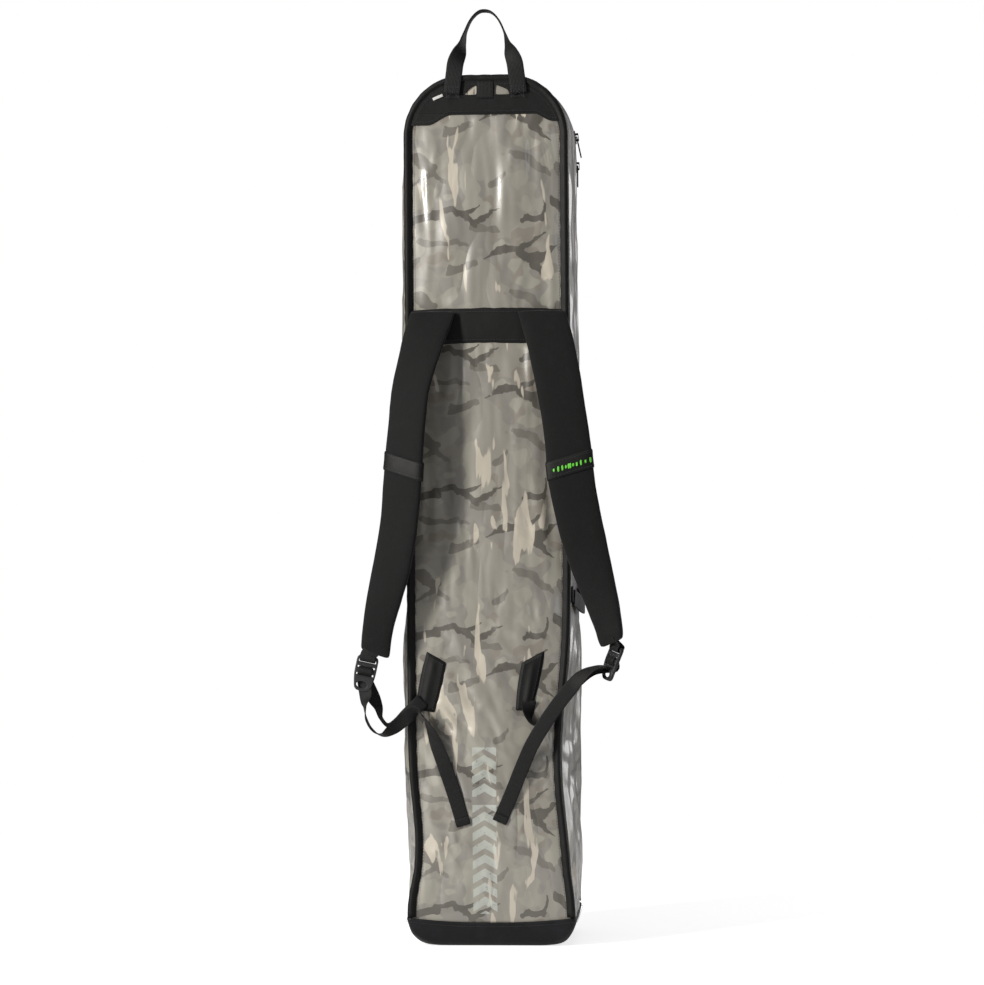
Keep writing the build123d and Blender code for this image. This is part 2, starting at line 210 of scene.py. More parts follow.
def panel_rows(reach, base, step):
    """Rows of x and z that fill the bag's front outline."""
    radius = reach - corner_x
    straight = np.linspace(base, corner_z, int(round((corner_z - base) / step)) + 1)
    turns = np.linspace(0, math.pi / 2, int(round(radius * math.pi / 2 / step)) + 1)[1:]
    heights = np.concatenate([straight, corner_z + radius * np.sin(turns)])
    halves = np.concatenate([np.full(len(straight), reach), corner_x + radius * np.cos(turns)])
    across = np.linspace(-1, 1, int(round(2 * reach / step)) + 1)
    return np.outer(halves, across), np.repeat(heights[:, None], len(across), axis=1)


# Meshes

def link(name, data):
    """Puts an object with this mesh, lamp, curve or lens into the scene."""
    holder = bpy.data.objects.new(name, data)
    scene.collection.objects.link(holder)
    return holder


def add_mesh(name, points, faces, material, smooth=True):
    mesh = bpy.data.meshes.new(name)
    mesh.from_pydata(np.reshape(points, (-1, 3)).tolist(), [], faces)
    mesh.polygons.foreach_set("use_smooth", [smooth] * len(mesh.polygons))
    mesh.materials.append(material)
    return link(name, mesh)


def grid_faces(rows, columns, closed=False, looped=False, capped=False, flip=False, holes=None):
    """Faces of a grid of points.

    closed joins the last column to the first, looped joins the last row to the first, capped fills the
    first and the last row, and holes marks the faces to leave out."""
    faces = []
    for i in range(rows if looped else rows - 1):
        after = (i + 1) % rows * columns
        for j in range(columns if closed else columns - 1):
            if holes is None or not holes[i, j]:
                k = (j + 1) % columns
                faces.append((i * columns + j, i * columns + k, after + k, after + j))
    if capped:
        faces.append(tuple(range(columns))[::-1])
        faces.append(tuple(range((rows - 1) * columns, rows * columns)))
    return [face[::-1] for face in faces] if flip else faces


def add_grid(name, points, material, **joins):
    """A mesh from rows of points, joined as grid_faces says."""
    return add_mesh(name, points, grid_faces(*np.shape(points)[:2], **joins), material)


def evaluated_mesh(piece):
    return bpy.data.meshes.new_from_object(piece.evaluated_get(bpy.context.evaluated_depsgraph_get()))


def settle(piece):
    """Replaces the piece's mesh by what its modifiers make of it."""
    made = evaluated_mesh(piece)
    piece.modifiers.clear()
    piece.data = made
    made.polygons.foreach_set("use_smooth", [True] * len(made.polygons))
    return piece


def tailor(piece, thickness=0, finer=True):
    """Smooths a mesh and gives a single-layer sheet its thickness, inwards from its outer face."""
    if finer:
        piece.modifiers.new("finer", "SUBSURF").levels = 1
    if thickness:
        solid = piece.modifiers.new("thickness", "SOLIDIFY")
        solid.thickness = thickness
        solid.offset = -1
    return settle(piece)


def drape(piece, cut, sewn, pressure):
    """Lets a sheet settle as cloth cut larger than its place, so that it buckles into folds.

    cut is each point's place in the flat cloth, and sewn are the points that stay where they are."""
    piece.shape_key_add(name="Basis")
    flat = piece.shape_key_add(name="cut")
    flat.data.foreach_set("co", cut.ravel())
    group = piece.vertex_groups.new(name="sewn")
    group.add([int(i) for i in np.flatnonzero(sewn)], 1.0, "REPLACE")
    cloth = piece.modifiers.new("cloth", "CLOTH")
    cloth.settings.effector_weights.gravity = 0
    settings = {
        "rest_shape_key": flat, "vertex_group_mass": "sewn", "quality": 4, "mass": 0.2, "air_damping": 3,
        "tension_stiffness": 8, "compression_stiffness": 8, "shear_stiffness": 4, "bending_stiffness": 1.2,
        "use_pressure": True, "uniform_pressure_force": pressure,
    }
    for setting, value in settings.items():
        setattr(cloth.settings, setting, value)
    cloth.point_cache.frame_start = 1
    cloth.point_cache.frame_end = cloth_frames
    for number in range(1, cloth_frames + 1):
        scene.frame_set(number)
    settle(piece)
    scene.frame_set(1)


def points_of(piece):
    flat = np.empty(len(piece.data.vertices) * 3)
    piece.data.vertices.foreach_get("co", flat)
    return flat.reshape(-1, 3)


def move_points(piece, points):
    piece.data.vertices.foreach_set("co", np.ravel(points))
    piece.data.update()


def reshape(piece, change):
    """Runs a change on an editable copy of the piece's mesh and puts it back."""
    editable = bmesh.new()
    editable.from_mesh(piece.data)
    change(editable)
    editable.to_mesh(piece.data)
    editable.free()


def fix_normals(piece):
    reshape(piece, lambda mesh: bmesh.ops.recalc_face_normals(mesh, faces=mesh.faces))


def join_close(piece, distance):
    """Joins the points that lie on top of each other."""
    reshape(piece, lambda mesh: bmesh.ops.remove_doubles(mesh, verts=mesh.verts, dist=distance))


def copies(name, shape, places, axes, material):
    """One mesh made of a small shape repeated at each place, turned to each set of axes."""
    shape_points, shape_faces = shape
    points = np.einsum("pk,nkd->npd", shape_points, axes) + places[:, None, :]
    count = len(shape_points)
    faces = [tuple(i + n * count for i in face) for n in range(len(places)) for face in shape_faces]
    return add_mesh(name, points, faces, material)


def capsule(length, width, height, sides=6):
    """A short rounded bar along its first axis."""
    ends = np.array([(-0.5, 0.35), (-0.38, 0.9), (0, 1.0), (0.38, 0.9), (0.5, 0.35)])
    share, size = ends[:, :1], ends[:, 1:]
    angles = round_angles(sides)
    points = grid_of(share * length, size * width / 2 * np.cos(angles), size * height / 2 * np.sin(angles))
    return points.reshape(-1, 3), grid_faces(len(ends), sides, closed=True, capped=True, flip=True)


def place(piece, body, slot, *nodes):
    """Parents a piece to the body that carries it and hides the CAD nodes that it stands for. Its finish,
    slot, is not used.
    """
    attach(piece, body)
    label(piece, slot, *nodes)


def label(piece, slot, *nodes):
    if nodes:
        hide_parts(*nodes)


# Material building blocks

class Field:
    """A number, a colour or a direction that varies over a surface. Arithmetic on it adds nodes."""

    def __init__(self, tree, socket):
        self.tree = tree
        self.socket = socket

    def __add__(self, other):
        return maths("ADD", self, other)

    def __sub__(self, other):
        return maths("SUBTRACT", self, other)

    def __mul__(self, other):
        return maths("MULTIPLY", self, other)

    def __truediv__(self, other):
        return maths("DIVIDE", self, other)

    def __lt__(self, other):
        return maths("LESS_THAN", self, other)

    def __gt__(self, other):
        return maths("GREATER_THAN", self, other)

    def __abs__(self):
        return maths("ABSOLUTE", self)

    def parts(self):
        return [node(self.tree, "SeparateXYZ", axis, {0: self}) for axis in "XYZ"]


def feed(socket, value):
    if isinstance(value, Field):
        value.tree.links.new(value.socket, socket)
    else:
        socket.default_value = value


def node(tree, kind, output, inputs=None, **settings):
    """Adds a node and gives one of its outputs back as a field."""
    made = tree.nodes.new("ShaderNode" + kind)
    for key, value in settings.items():
        setattr(made, key, value)
    for key, value in (inputs or {}).items():
        feed(made.inputs[key], value)
    return Field(tree, made.outputs[output])


def maths(operation, first, second=0.0, clamp=False):
    tree = (first if isinstance(first, Field) else second).tree
    return node(tree, "Math", 0, {0: first, 1: second}, operation=operation, use_clamp=clamp)


def vector_maths(operation, first, second=(0, 0, 0), output="Vector"):
    return node(first.tree, "VectorMath", output, {0: first, 1: second}, operation=operation)


def joined(x, y, z):
    return node(x.tree, "CombineXYZ", 0, {0: x, 1: y, 2: z})


def mixed(share, first, second):
    """A colour between two others."""
    return node(share.tree, "Mix", 2, {0: share, 6: first, 7: second}, data_type="RGBA")


def tone(shade, factor=1.0):
    """A colour given as it looks on screen, from 0 to 255, made darker or paler by a factor."""
    return tuple((c * factor / 255) ** 2.2 for c in shade) + (1.0,)


def stretched(vector, scale=(1, 1, 1), offset=(0, 0, 0)):
    return node(vector.tree, "Mapping", 0, {"Vector": vector, "Scale": scale, "Location": offset})


def speckle(vector, scale, detail=3.0, roughness=0.55, distortion=0.0):
    values = {"Vector": vector, "Scale": scale, "Detail": detail, "Roughness": roughness}
    return node(vector.tree, "TexNoise", "Fac", {**values, "Distortion": distortion})


def cells(vector, scale):
    return node(vector.tree, "TexVoronoi", "Distance", {"Vector": vector, "Scale": scale})


def above(value, threshold, softness):
    """1 where the value is above the threshold, with a soft edge."""
    values = {"Value": value, "From Min": threshold - softness, "From Max": threshold + softness}
    return node(value.tree, "MapRange", 0, values, interpolation_type="SMOOTHSTEP")


def weave(where, threads):
    """The height of a plain weave, with that many threads to the metre, on any upright face."""
    x, y, z = where.parts()
    return maths("SINE", (x + y) * (threads * math.pi)) * maths("SINE", z * (threads * math.pi))


class Surface:
    """A material being made, which starts from the plain values of its shader's sockets."""

    def __init__(self, name, values):
        self.material = bpy.data.materials.new(name)
        self.material.use_nodes = True
        self.tree = self.material.node_tree
        self.sockets = self.tree.nodes["Principled BSDF"].inputs
        self.normal = None
        for socket, value in values.items():
            feed(self.sockets[socket], value)

    def position(self):
        return node(self.tree, "TexCoord", "Object")

    def paint(self, colour, pattern, smooth, rough):
        """Sets the colour, and a roughness that follows a pattern from smooth to rough."""
        feed(self.sockets["Base Color"], colour)
        values = {"Value": pattern, "To Min": smooth, "To Max": rough}
        feed(self.sockets["Roughness"], node(self.tree, "MapRange", 0, values))

    def relief(self, height, distance, strength):
        """Adds bumps to the ones already there. distance is their depth in metres."""
        values = {"Height": height, "Distance": distance, "Strength": strength}
        if self.normal:
            values["Normal"] = self.normal
        self.normal = node(self.tree, "Bump", 0, values)
        feed(self.sockets["Normal"], self.normal)


# The camouflage print. It repeats up the cloth and round the bag.
print_height = 166.5 * MM
print_width = 230 * MM
print_shift = 75 * MM
print_start = 40 * MM
# Strokes of the print within one repeat, in mm: both ends, and half the thickness at each end
dark_branches = (
    (-90, 79, -66, 84, 6, 5), (-68, 86, -48, 93, 4, 3.5), (-48, 93, -32, 86, 3.5, 4.2),
    (-32, 88, -14, 97, 3, 0.6), (-34, 85, -22, 75, 4, 3.5), (-22, 78, 8, 89, 3.6, 0.8),
    (-10, 33, 14, 45, 1, 4.4), (14, 45, 30, 44, 4.4, 5), (30, 44, 66, 62, 4.4, 1),
    (33, 38, 58, 31, 6.5, 6.5), (58, 34, 82, 46, 5, 1), (50, 27, 74, 9, 4.6, 0.6),
    (42, 79, 60, 83, 4.5, 5), (60, 83, 66, 103, 4.2, 1), (80, 102, 92, 87, 5.5, 4),
)
dim_branches = (
    (-22, 72, 6, 67, 5.5, 4.5), (-84, 55, -30, 51, 4.2, 2), (-84, 152, -70, 140, 7, 7),
    (-70, 140, -55, 122, 4, 1), (-90, 118, -66, 140, 2, 4), (26, 158, 50, 152, 4, 6),
    (50, 152, 70, 134, 6, 3), (-50, 18, -20, 26, 6, 3), (-104, 20, -84, 34, 7, 4),
    (100, 60, 110, 30, 5, 8), (86, 140, 104, 128, 6, 5), (0, 120, 18, 132, 5, 2),
)
# Soft patches: offset of the noise, its scale and detail, the threshold and the patch's shade
soft_patches = (
    ((0, 0, 0), 22.0, 2.0, 0.52, (140, 137, 130)),
    ((3, 5, 0), 24.0, 2.0, 0.6, (138, 132, 122)),
    ((9, 2, 0), 28.0, 1.5, 0.57, (159, 156, 144)),
)
# Ragged outlines of screen printing: the noise's scale, and how far it pushes a point, in mm
ragged_edges = ((42, 15), (120, 6), (330, 1.6))
# Where the painted highlight lies thickest, high on the left of the back: its middle and how far it
# reaches
painted_highlight_middle = (-0.42 * body_half, back_face, 0.9 * body_top)
painted_highlight_reach = (0.3 * body_half, 60 * MM, 0.09 * body_top)
# The column of chevrons up the back
chevron_shift = 7 * MM
chevron_half = 14.5 * MM
chevron_pitch = 17 * MM
chevron_low, chevron_high = 40 * MM, 240 * MM
chevron_gap = 176 * MM


def branches(spot, strokes):
    """How far a point of the print is inside the nearest stroke, below zero outside them all."""
    deepest = None
    for left, low, right, high, first, last in strokes:
        way = Vector((right - left, high - low, 0)) * MM
        from_start = vector_maths("SUBTRACT", spot, Vector((left, low, 0)) * MM)
        share = vector_maths("DOT_PRODUCT", from_start, way / way.length_squared, "Value")
        share = maths("ADD", share, 0.0, clamp=True)
        along = node(spot.tree, "VectorMath", 0, {0: way, "Scale": share}, operation="SCALE")
        away = vector_maths("DISTANCE", from_start, along, "Value")
        inside = share * ((last - first) * MM) + first * MM - away
        deepest = maths("MAXIMUM", deepest, inside) if deepest else inside
    return deepest


def print_spot(where):
    """A point's place within one repeat of the print, with ragged outlines."""
    x, y, z = where.parts()
    across = maths("FRACT", (x + y + print_shift) / print_width + 0.5) - 0.5
    up = maths("FRACT", (z + print_start) / print_height)
    flat = joined(across * print_width, up * print_height, 0.0)
    wavy = flat
    for scale, reach in ragged_edges:
        shift = node(where.tree, "TexNoise", "Color", {"Vector": flat, "Scale": scale, "Detail": 1.0})
        centred = vector_maths("SUBTRACT", shift, (0.5, 0.5, 0.5))
        wavy = vector_maths("ADD", wavy, vector_maths("MULTIPLY", centred, (reach * MM, reach * MM, 0)))
    return wavy


def rolled_up(where):
    """The cloth's place with its height rolled round a drum, so that patches repeat without a seam."""
    x, y, z = where.parts()
    drum = print_height / (2 * math.pi)
    turn = z * (1 / drum)
    return joined(x + y, maths("COSINE", turn) * drum, maths("SINE", turn) * drum)


def painted_highlight_shards(where):
    """1 on tall narrow shards of painted highlight that the print doesn't repeat, more of them in the
    painted highlight high on the left of the back.
    """
    shards = speckle(stretched(where, (1, 1, 0.22), (0.31, 0.1, 0.14)), 62.0, 2.5, 0.5, 0.35)
    clusters = speckle(stretched(where, (1, 1, 0.5)), 13.0, 1.0)
    away = vector_maths("DIVIDE", vector_maths("SUBTRACT", where, painted_highlight_middle), painted_highlight_reach)
    nearby = maths("SUBTRACT", 1.0, vector_maths("LENGTH", away, output="Value"), clamp=True)
    return above(shards + clusters * 0.6 + nearby * 0.22, 0.955, 0.012)


def block_print(where):
    """A plain column of pale worn chevrons printed up the middle of the back."""
    x, y, z = where.parts()
    across = abs(x + chevron_shift)
    bar = (across < chevron_half) * (maths("FRACT", (z + across * 0.6) / chevron_pitch) < 0.58)
    column = (z > chevron_low) * (z < chevron_high) * (abs(z - chevron_gap) > 5 * MM)
    worn = above(speckle(where, 300.0), 0.34, 0.05)
    return bar * column * (y < back_face + 8 * MM) * worn * 0.7


# Materials

def camouflage(name, printed=False):
    """Glossy coated polyester with a camouflage print, and cream shards of painted highlight over it."""
    surface = Surface(name, {"Specular IOR Level": 0.6, "Coat Weight": 1.0, "Coat Roughness": 0.15})
    where = surface.position()
    spot = print_spot(where)
    rolled = rolled_up(where)
    colour = tone((151, 147, 137))
    for offset, scale, detail, threshold, shade in soft_patches:
        patch = above(speckle(stretched(rolled, offset=offset), scale, detail), threshold, 0.014)
        colour = mixed(patch, colour, tone(shade))
    for strokes, shade in ((dim_branches, (118, 114, 106)), (dark_branches, (90, 87, 80))):
        colour = mixed(above(branches(spot, strokes), 0, 0.3 * MM), colour, tone(shade))
    # Painted highlight: cream shards that stand for the lamps' reflections on the glossy folds.
    colour = mixed(painted_highlight_shards(where) * 0.85, colour, tone((208, 199, 182)))
    colour = mixed(speckle(where, 16.0) * 0.25, colour, tone((112, 106, 97)))
    if printed:
        colour = mixed(block_print(where), colour, tone((186, 192, 184)))
    surface.paint(colour, speckle(where, 60.0), 0.3, 0.46)
    soft = speckle(stretched(where, (1, 1, 0.5)), 21.0, 1.6, 0.5, 0.5)
    surface.relief(abs(soft - 0.5), 9.0 * MM, 0.8)
    surface.relief(weave(where, 1500), 0.06 * MM, 0.5)
    return surface.material


def black_cloth(name, shade=(10, 10, 9), threads=1200, roughness=(0.5, 0.68), crumple=0.5):
    """Coated black fabric with a fine weave and slight rubbing."""
    surface = Surface(name, {"Specular IOR Level": 0.32, "Sheen Weight": 0.06, "Sheen Roughness": 0.4})
    where = surface.position()
    rubbed = speckle(where, 55.0, 5.0, 0.65)
    surface.paint(mixed(above(rubbed, 0.56, 0.12), tone(shade), tone(shade, 1.3)), rubbed, *roughness)
    surface.relief(speckle(where, 38.0, 4.0, 0.6), 1.4 * MM, crumple)
    surface.relief(weave(where, threads), 0.08 * MM, 0.8)
    return surface.material


def knit(name):
    """Matt stretch knit over foam: staggered dimples."""
    surface = Surface(name, {"Specular IOR Level": 0.2, "Sheen Weight": 0.12, "Sheen Roughness": 0.5})
    where = surface.position()
    lint = speckle(where, 90.0, 6.0, 0.7)
    surface.paint(mixed(above(lint, 0.62, 0.2), tone((23, 23, 23)), tone((30, 30, 30))), lint, 0.72, 0.9)
    surface.relief(speckle(stretched(where, (1, 1, 0.6)), 30.0, 4.0, 0.55), 1.6 * MM, 0.5)
    surface.relief(cells(stretched(where, (1, 1, 0.7)), 620.0), 0.18 * MM, 0.8)
    return surface.material


def webbing_weave(name, shade=(22, 22, 22)):
    """Narrow woven tape: lengthwise ribs crossed by fine picks, with painted shade in the grooves and a
    painted highlight on the ribs.
    """
    surface = Surface(name, {"Specular IOR Level": 0.3, "Sheen Weight": 0.1, "Sheen Roughness": 0.35})
    strip = node(surface.tree, "Attribute", "Vector", attribute_name="strip")
    across, along, _ = strip.parts()
    height = abs(maths("SINE", across * 1900.0)) + abs(maths("SINE", along * 2600.0)) * 0.5
    fuzz = speckle(strip, 400.0)
    # The colour follows the weave's height: painted shade in the grooves and a painted highlight on the
    # ribs.
    colour = mixed(height * 0.35, tone(shade, 0.7), tone(shade, 1.35))
    colour = mixed(above(fuzz, 0.6, 0.1) * 0.35, colour, tone((48, 48, 49)))
    surface.paint(colour, fuzz, 0.5, 0.75)
    surface.relief(height, 0.2 * MM, 0.8)
    return surface.material


def plain_cloth(name, shade, threads, roughness=(0.6, 0.8), depth=0.1):
    """Plain woven lining or tape."""
    surface = Surface(name, {"Specular IOR Level": 0.3, "Sheen Weight": 0.08})
    where = surface.position()
    cloudy = speckle(where, 30.0, 5.0)
    surface.paint(mixed(cloudy, tone(shade, 0.8), tone(shade)), cloudy, *roughness)
    surface.relief(speckle(where, 24.0), 2 * MM, 0.25)
    surface.relief(weave(where, threads), depth * MM, 0.9)
    return surface.material


def foam(name):
    """Closed-cell foam sheet with fine pores."""
    surface = Surface(name, {"Specular IOR Level": 0.25})
    where = surface.position()
    pores = cells(where, 900.0)
    colour = mixed(speckle(where, 40.0), tone((206, 204, 198)), tone((226, 225, 221)))
    surface.paint(colour, pores, 0.7, 0.95)
    surface.relief(pores, 0.15 * MM, 0.6)
    return surface.material


def moulded(name, shade, roughness, grain=380.0, metallic=0.0):
    """Moulded plastic, rubber or painted metal with a fine grain and rubbed spots."""
    surface = Surface(name, {"Specular IOR Level": 0.45, "Metallic": metallic})
    where = surface.position()
    scuffs = speckle(stretched(where, (1, 1, 0.25)), 150.0, 6.0, 0.7)
    surface.paint(mixed(above(scuffs, 0.62, 0.06), tone(shade), tone(shade, 1.6)), scuffs, *roughness)
    surface.relief(speckle(where, grain, 4.0, 0.6), 0.08 * MM, 0.5)
    return surface.material


def thread(name, shade):
    """Twisted sewing thread, with a painted highlight on its raised twist and painted shade in its
    hollows.
    """
    surface = Surface(name, {"Specular IOR Level": 0.35, "Sheen Weight": 0.1})
    twist_and_painted_shade = speckle(surface.position(), 2500.0, 2.0)
    # The colour follows the twist's height: painted highlight where it is raised, painted shade where it
    # sinks.
    surface.paint(mixed(twist_and_painted_shade, tone(shade, 0.8), tone(shade, 1.25)), twist_and_painted_shade, 0.45, 0.65)
    surface.relief(twist_and_painted_shade, 0.05 * MM, 0.5)
    return surface.material


camo = camouflage("camo_cloth")
camo_printed = camouflage("camo_cloth_printed", printed=True)
black = black_cloth("black_cloth")
boot_cloth = black_cloth("boot_cloth", (20, 21, 24), 900, (0.38, 0.56), 0.7)
knit_cloth = knit("strap_knit_cloth")
black_web = webbing_weave("black_webbing_weave")
lining = plain_cloth("lining_cloth", (98, 99, 103), 1100)
tape = plain_cloth("zip_tape_twill", (33, 33, 35), 1700, (0.6, 0.75), 0.12)
foam_sheet = foam("foam_sheet")
nylon = moulded("zip_nylon", (34, 34, 36), (0.3, 0.42), 900.0)
acetal = moulded("buckle_acetal", (44, 44, 46), (0.38, 0.52))
enamel = moulded("slider_enamel", (34, 34, 36), (0.28, 0.45), 500.0, 0.4)
rubber = moulded("pull_rubber_grain", (36, 36, 38), (0.55, 0.7), 700.0)
board = moulded("board_plastic", (48, 48, 50), (0.45, 0.6), 260.0)
dark_thread = thread("dark_thread", (44, 44, 46))
green_thread = thread("green_thread", (96, 190, 60))
pale_label = plain_cloth("pale_label_tape", (226, 226, 222), 1400)


# Stitches and webbing

def stitches(name, body, slot, lines, outward, pitch=stitch_pitch):
    """Rows of thread along lines of points. outward is the way that the fabric faces there."""
    places = []
    axes = []
    for line in lines:
        row, _ = curve_through(line, pitch)
        ways = unit(np.gradient(row, axis=0))
        face = outward(row) if callable(outward) else outward
        sides = unit(np.cross(face, ways))
        places.append(row)
        axes.append(np.stack([ways, sides, np.cross(ways, sides)], axis=1))
    sewing = copies(name, capsule(*stitch_size), np.vstack(places), np.vstack(axes), dark_thread)
    place(sewing, body, slot)


def webbing(name, route, width, thickness, step=3 * MM, material=black_web):
    """A flat strap along a route of (point, direction across) pairs, with rounded edges.

    The attribute strip holds each point's place across and along the strap, for its weave."""
    points, directions = zip(*route)
    centres, shares = curve_through(points, step)
    given = unit(np.array(directions, float))
    across = between(shares, range(len(given)), given)
    ways = unit(np.gradient(centres, axis=0))
    across = unit(across - ways * np.sum(across * ways, axis=1)[:, None])
    through = np.cross(ways, across)
    angles = round_angles(20)
    flat = squared_off(np.cos(angles), 0.35) * width / 2
    proud = squared_off(np.sin(angles), 0.5) * thickness / 2
    rings = (centres[:, None, :] + across[:, None, :] * flat[None, :, None]
             + through[:, None, :] * proud[None, :, None])
    piece = add_grid(name, rings, material, closed=True, capped=True)
    strip = grid_of(flat[None, :], length_along(centres)[:, None], 0)
    piece.data.attributes.new("strip", "FLOAT_VECTOR", "POINT").data.foreach_set("vector", strip.ravel())
    return piece


# Shell

def sewn_to_back(x, z):
    """Which points of the back fabric other pieces are sewn down on."""
    edge = np.abs(x) > back_edge(z) - edge_seam
    ends = (z < boot_top + 6 * MM) | (z > cap_edge(x) + 4 * MM)
    yoke = (z > yoke_low + 3 * MM) & (z < yoke_high - 3 * MM)
    wings = np.zeros(x.shape, bool)
    for side in ("left", "right"):
        wings |= near_wing(side, x, z)
    return edge | ends | yoke | wings


def back_edge(z):
    """Half the width of the back panel's outline at a height."""
    radius = panel_half - corner_x
    over = np.clip((np.asarray(z, float) - corner_z) / radius, 0, 1)
    return corner_x + radius * np.sqrt(1 - over ** 2)


def cap_edge(x):
    """The lower edge of the black cap, higher in the middle than at the sides."""
    side_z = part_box("top_cap")[0].z
    left = rise(-np.asarray(x, float), 42 * MM, 72 * MM)
    right = rise(np.asarray(x, float), 60 * MM, 82 * MM)
    return side_z + 7 * MM - 12 * MM * left - 9 * MM * right


def wing_line(side):
    """The top and the bottom of a wing, at the middle of its width."""
    vertices = points_of(frame["nodes"][f"{side}_anchor_wing"])
    low, high = vertices[:, 2].min(), vertices[:, 2].max()
    top = vertices[vertices[:, 2] > high - 20 * MM].mean(axis=0)
    foot = vertices[vertices[:, 2] < low + 5 * MM].mean(axis=0)
    return top, foot


def near_wing(side, x, z):
    """Which points of the back lie under the wing on that side."""
    top, foot = wing_line(side)
    share = np.clip((top[2] - z) / (top[2] - foot[2]), 0, 1)
    middle = top[0] + (foot[0] - top[0]) * share
    return (np.abs(x - middle) < 9 * MM) & (z > foot[2] - 4 * MM) & (z < top[2] - 4 * MM)


def folds(x, z, seed):
    """The start of the folds: upright ones everywhere, and crumpling where the harness pulls."""
    flat = grid_of(x, 0, z)
    upright = wrinkle(flat, (26 * MM, 1, 150 * MM), seed)
    crumpled = wrinkle(flat, (34 * MM, 1, 44 * MM), seed + 5)
    low_down = hump(z, 300 * MM, 120 * MM) * 0.8
    return upright * (1 - low_down) + crumpled * low_down


def creases(x, z, seed):
    """Sharp small creases: tall ones where the cloth hangs, crossing ones where the harness pulls."""
    flat = grid_of(x, 0, z)
    leaning = grid_of(x + 0.5 * z, 0, z)
    tall = 1 - 2.2 * np.abs(wrinkle(flat, (24 * MM, 1, 120 * MM), seed, 2))
    across = 1 - 2.2 * np.abs(wrinkle(leaning, (34 * MM, 1, 52 * MM), seed + 3, 3))
    patches = rise(wrinkle(flat, (60 * MM, 1, 110 * MM), seed + 8, 1), -0.35, 0.35)
    low_down = np.clip(hump(z, 300 * MM, 110 * MM) + 0.7 * hump(z, 90 * MM, 60 * MM), 0, 1)
    return (tall * (1 - low_down) + across * low_down) * (0.35 + 0.65 * patches)


def fabric_panel(name, base, face, outward, seed, sewn, material):
    """One of the two big faces. outward is -1 for the back and 1 for the front."""
    x, z = panel_rows(panel_half + 1.5 * MM, base, sheet_step)
    fixed = sewn(x, z)
    start = folds(x, z, seed) * 2.2 * MM * ~fixed
    points = stuffed(grid_of(x, face + outward * start, z))
    piece = add_grid(name, points, material, flip=outward > 0)
    drape(piece, grid_of(x * face_excess[0], 0, z * face_excess[1]), fixed, 1.2)
    settled = points_of(piece).reshape(points.shape)
    depth = points[..., 1] + np.clip(settled[..., 1] - points[..., 1], -7 * MM, 7 * MM)
    innermost = face - outward * 1.6 * MM
    settled[..., 1] = outward * np.maximum(outward * depth, outward * innermost)
    move_points(piece, settled)
    pressed = points_of(piece).reshape(points.shape)
    still = rise(distance_from(fixed), 0, 3)
    pressed[..., 1] += outward * creases(x, z, seed) * crease_depth * still
    move_points(piece, pressed)
    return tailor(piece, cloth_thickness)


def distance_from(fixed):
    """Steps of the grid from each point to the nearest fixed one, up to four."""
    reached = fixed.copy()
    steps = np.where(fixed, 0.0, 4.0)
    for count in range(1, 4):
        wider = reached.copy()
        wider[1:] |= reached[:-1]
        wider[:-1] |= reached[1:]
        wider[:, 1:] |= reached[:, :-1]
        wider[:, :-1] |= reached[:, 1:]
        steps[wider & ~reached] = count
        reached = wider
    return steps


def back_cover():
    piece = fabric_panel("back_cover", boot_top - 7 * MM, back_face, -1, 3, sewn_to_back, camo_printed)
    place(piece, "root", "camo_fabric", "back_panel")


def side_grid(reach, back, front, base, step, seed=0, fold=0.0):
    """A band round the sides and over the top of the bag, with folds of the given depth."""
    along, x, z, out_x, out_z = arch(reach, base, step)
    columns = max(2, int(round(abs(front - back) / step)) + 1)
    y = np.linspace(back, front, columns)
    grid = grid_of(x[:, None], y, z[:, None])
    if fold:
        height = wrinkle(grid_of(along[:, None], y, 0), (90 * MM, 20 * MM, 1), seed)
        lift = height * fold * np.sin(np.linspace(0, math.pi, columns)) ** 0.6
        grid[..., 0] += lift * out_x[:, None]
        grid[..., 2] += lift * out_z[:, None]
    return grid, along, y


def side_cover():
    """The fabric round the sides and over the top, as one band."""
    base = boot_top - 6 * MM
    grid, along, y = side_grid(body_half, gusset_back, gusset_front, base, sheet_step, 11, 1.5 * MM)
    points = stuffed(grid)
    piece = add_grid("side_cover", points, camo, flip=True)
    fixed = np.zeros(points.shape[:2], bool)
    fixed[:, [0, -1]] = True
    fixed[:4] = True
    fixed[-4:] = True
    drape(piece, grid_of(along[:, None] * side_excess[1], y * side_excess[0], 0), fixed, 0.8)
    shift = points_of(piece).reshape(points.shape) - points
    far = np.linalg.norm(shift, axis=-1)
    reach = 4 * MM * (1 - 0.9 * held_flat(points[..., 2]))
    move_points(piece, points + shift * np.minimum(1, reach / np.maximum(far, 1e-9))[..., None])
    pressed = points_of(piece).reshape(points.shape)
    x, _, z = np.moveaxis(pressed, -1, 0)
    tall = 1 - 2.2 * np.abs(wrinkle(pressed, (1, 30 * MM, 110 * MM), 14, 2))
    beside = rise(corner_z - z, -60 * MM, 0) * (1 - held_flat(z))
    still = rise(distance_from(fixed), 0, 3)
    pressed[..., 0] = x + np.sign(x) * still * beside * tall * 0.8 * crease_depth
    move_points(piece, pressed)
    tailor(piece, cloth_thickness)
    place(piece, "root", "camo_fabric", "left_gusset", "right_gusset", "top_gusset")


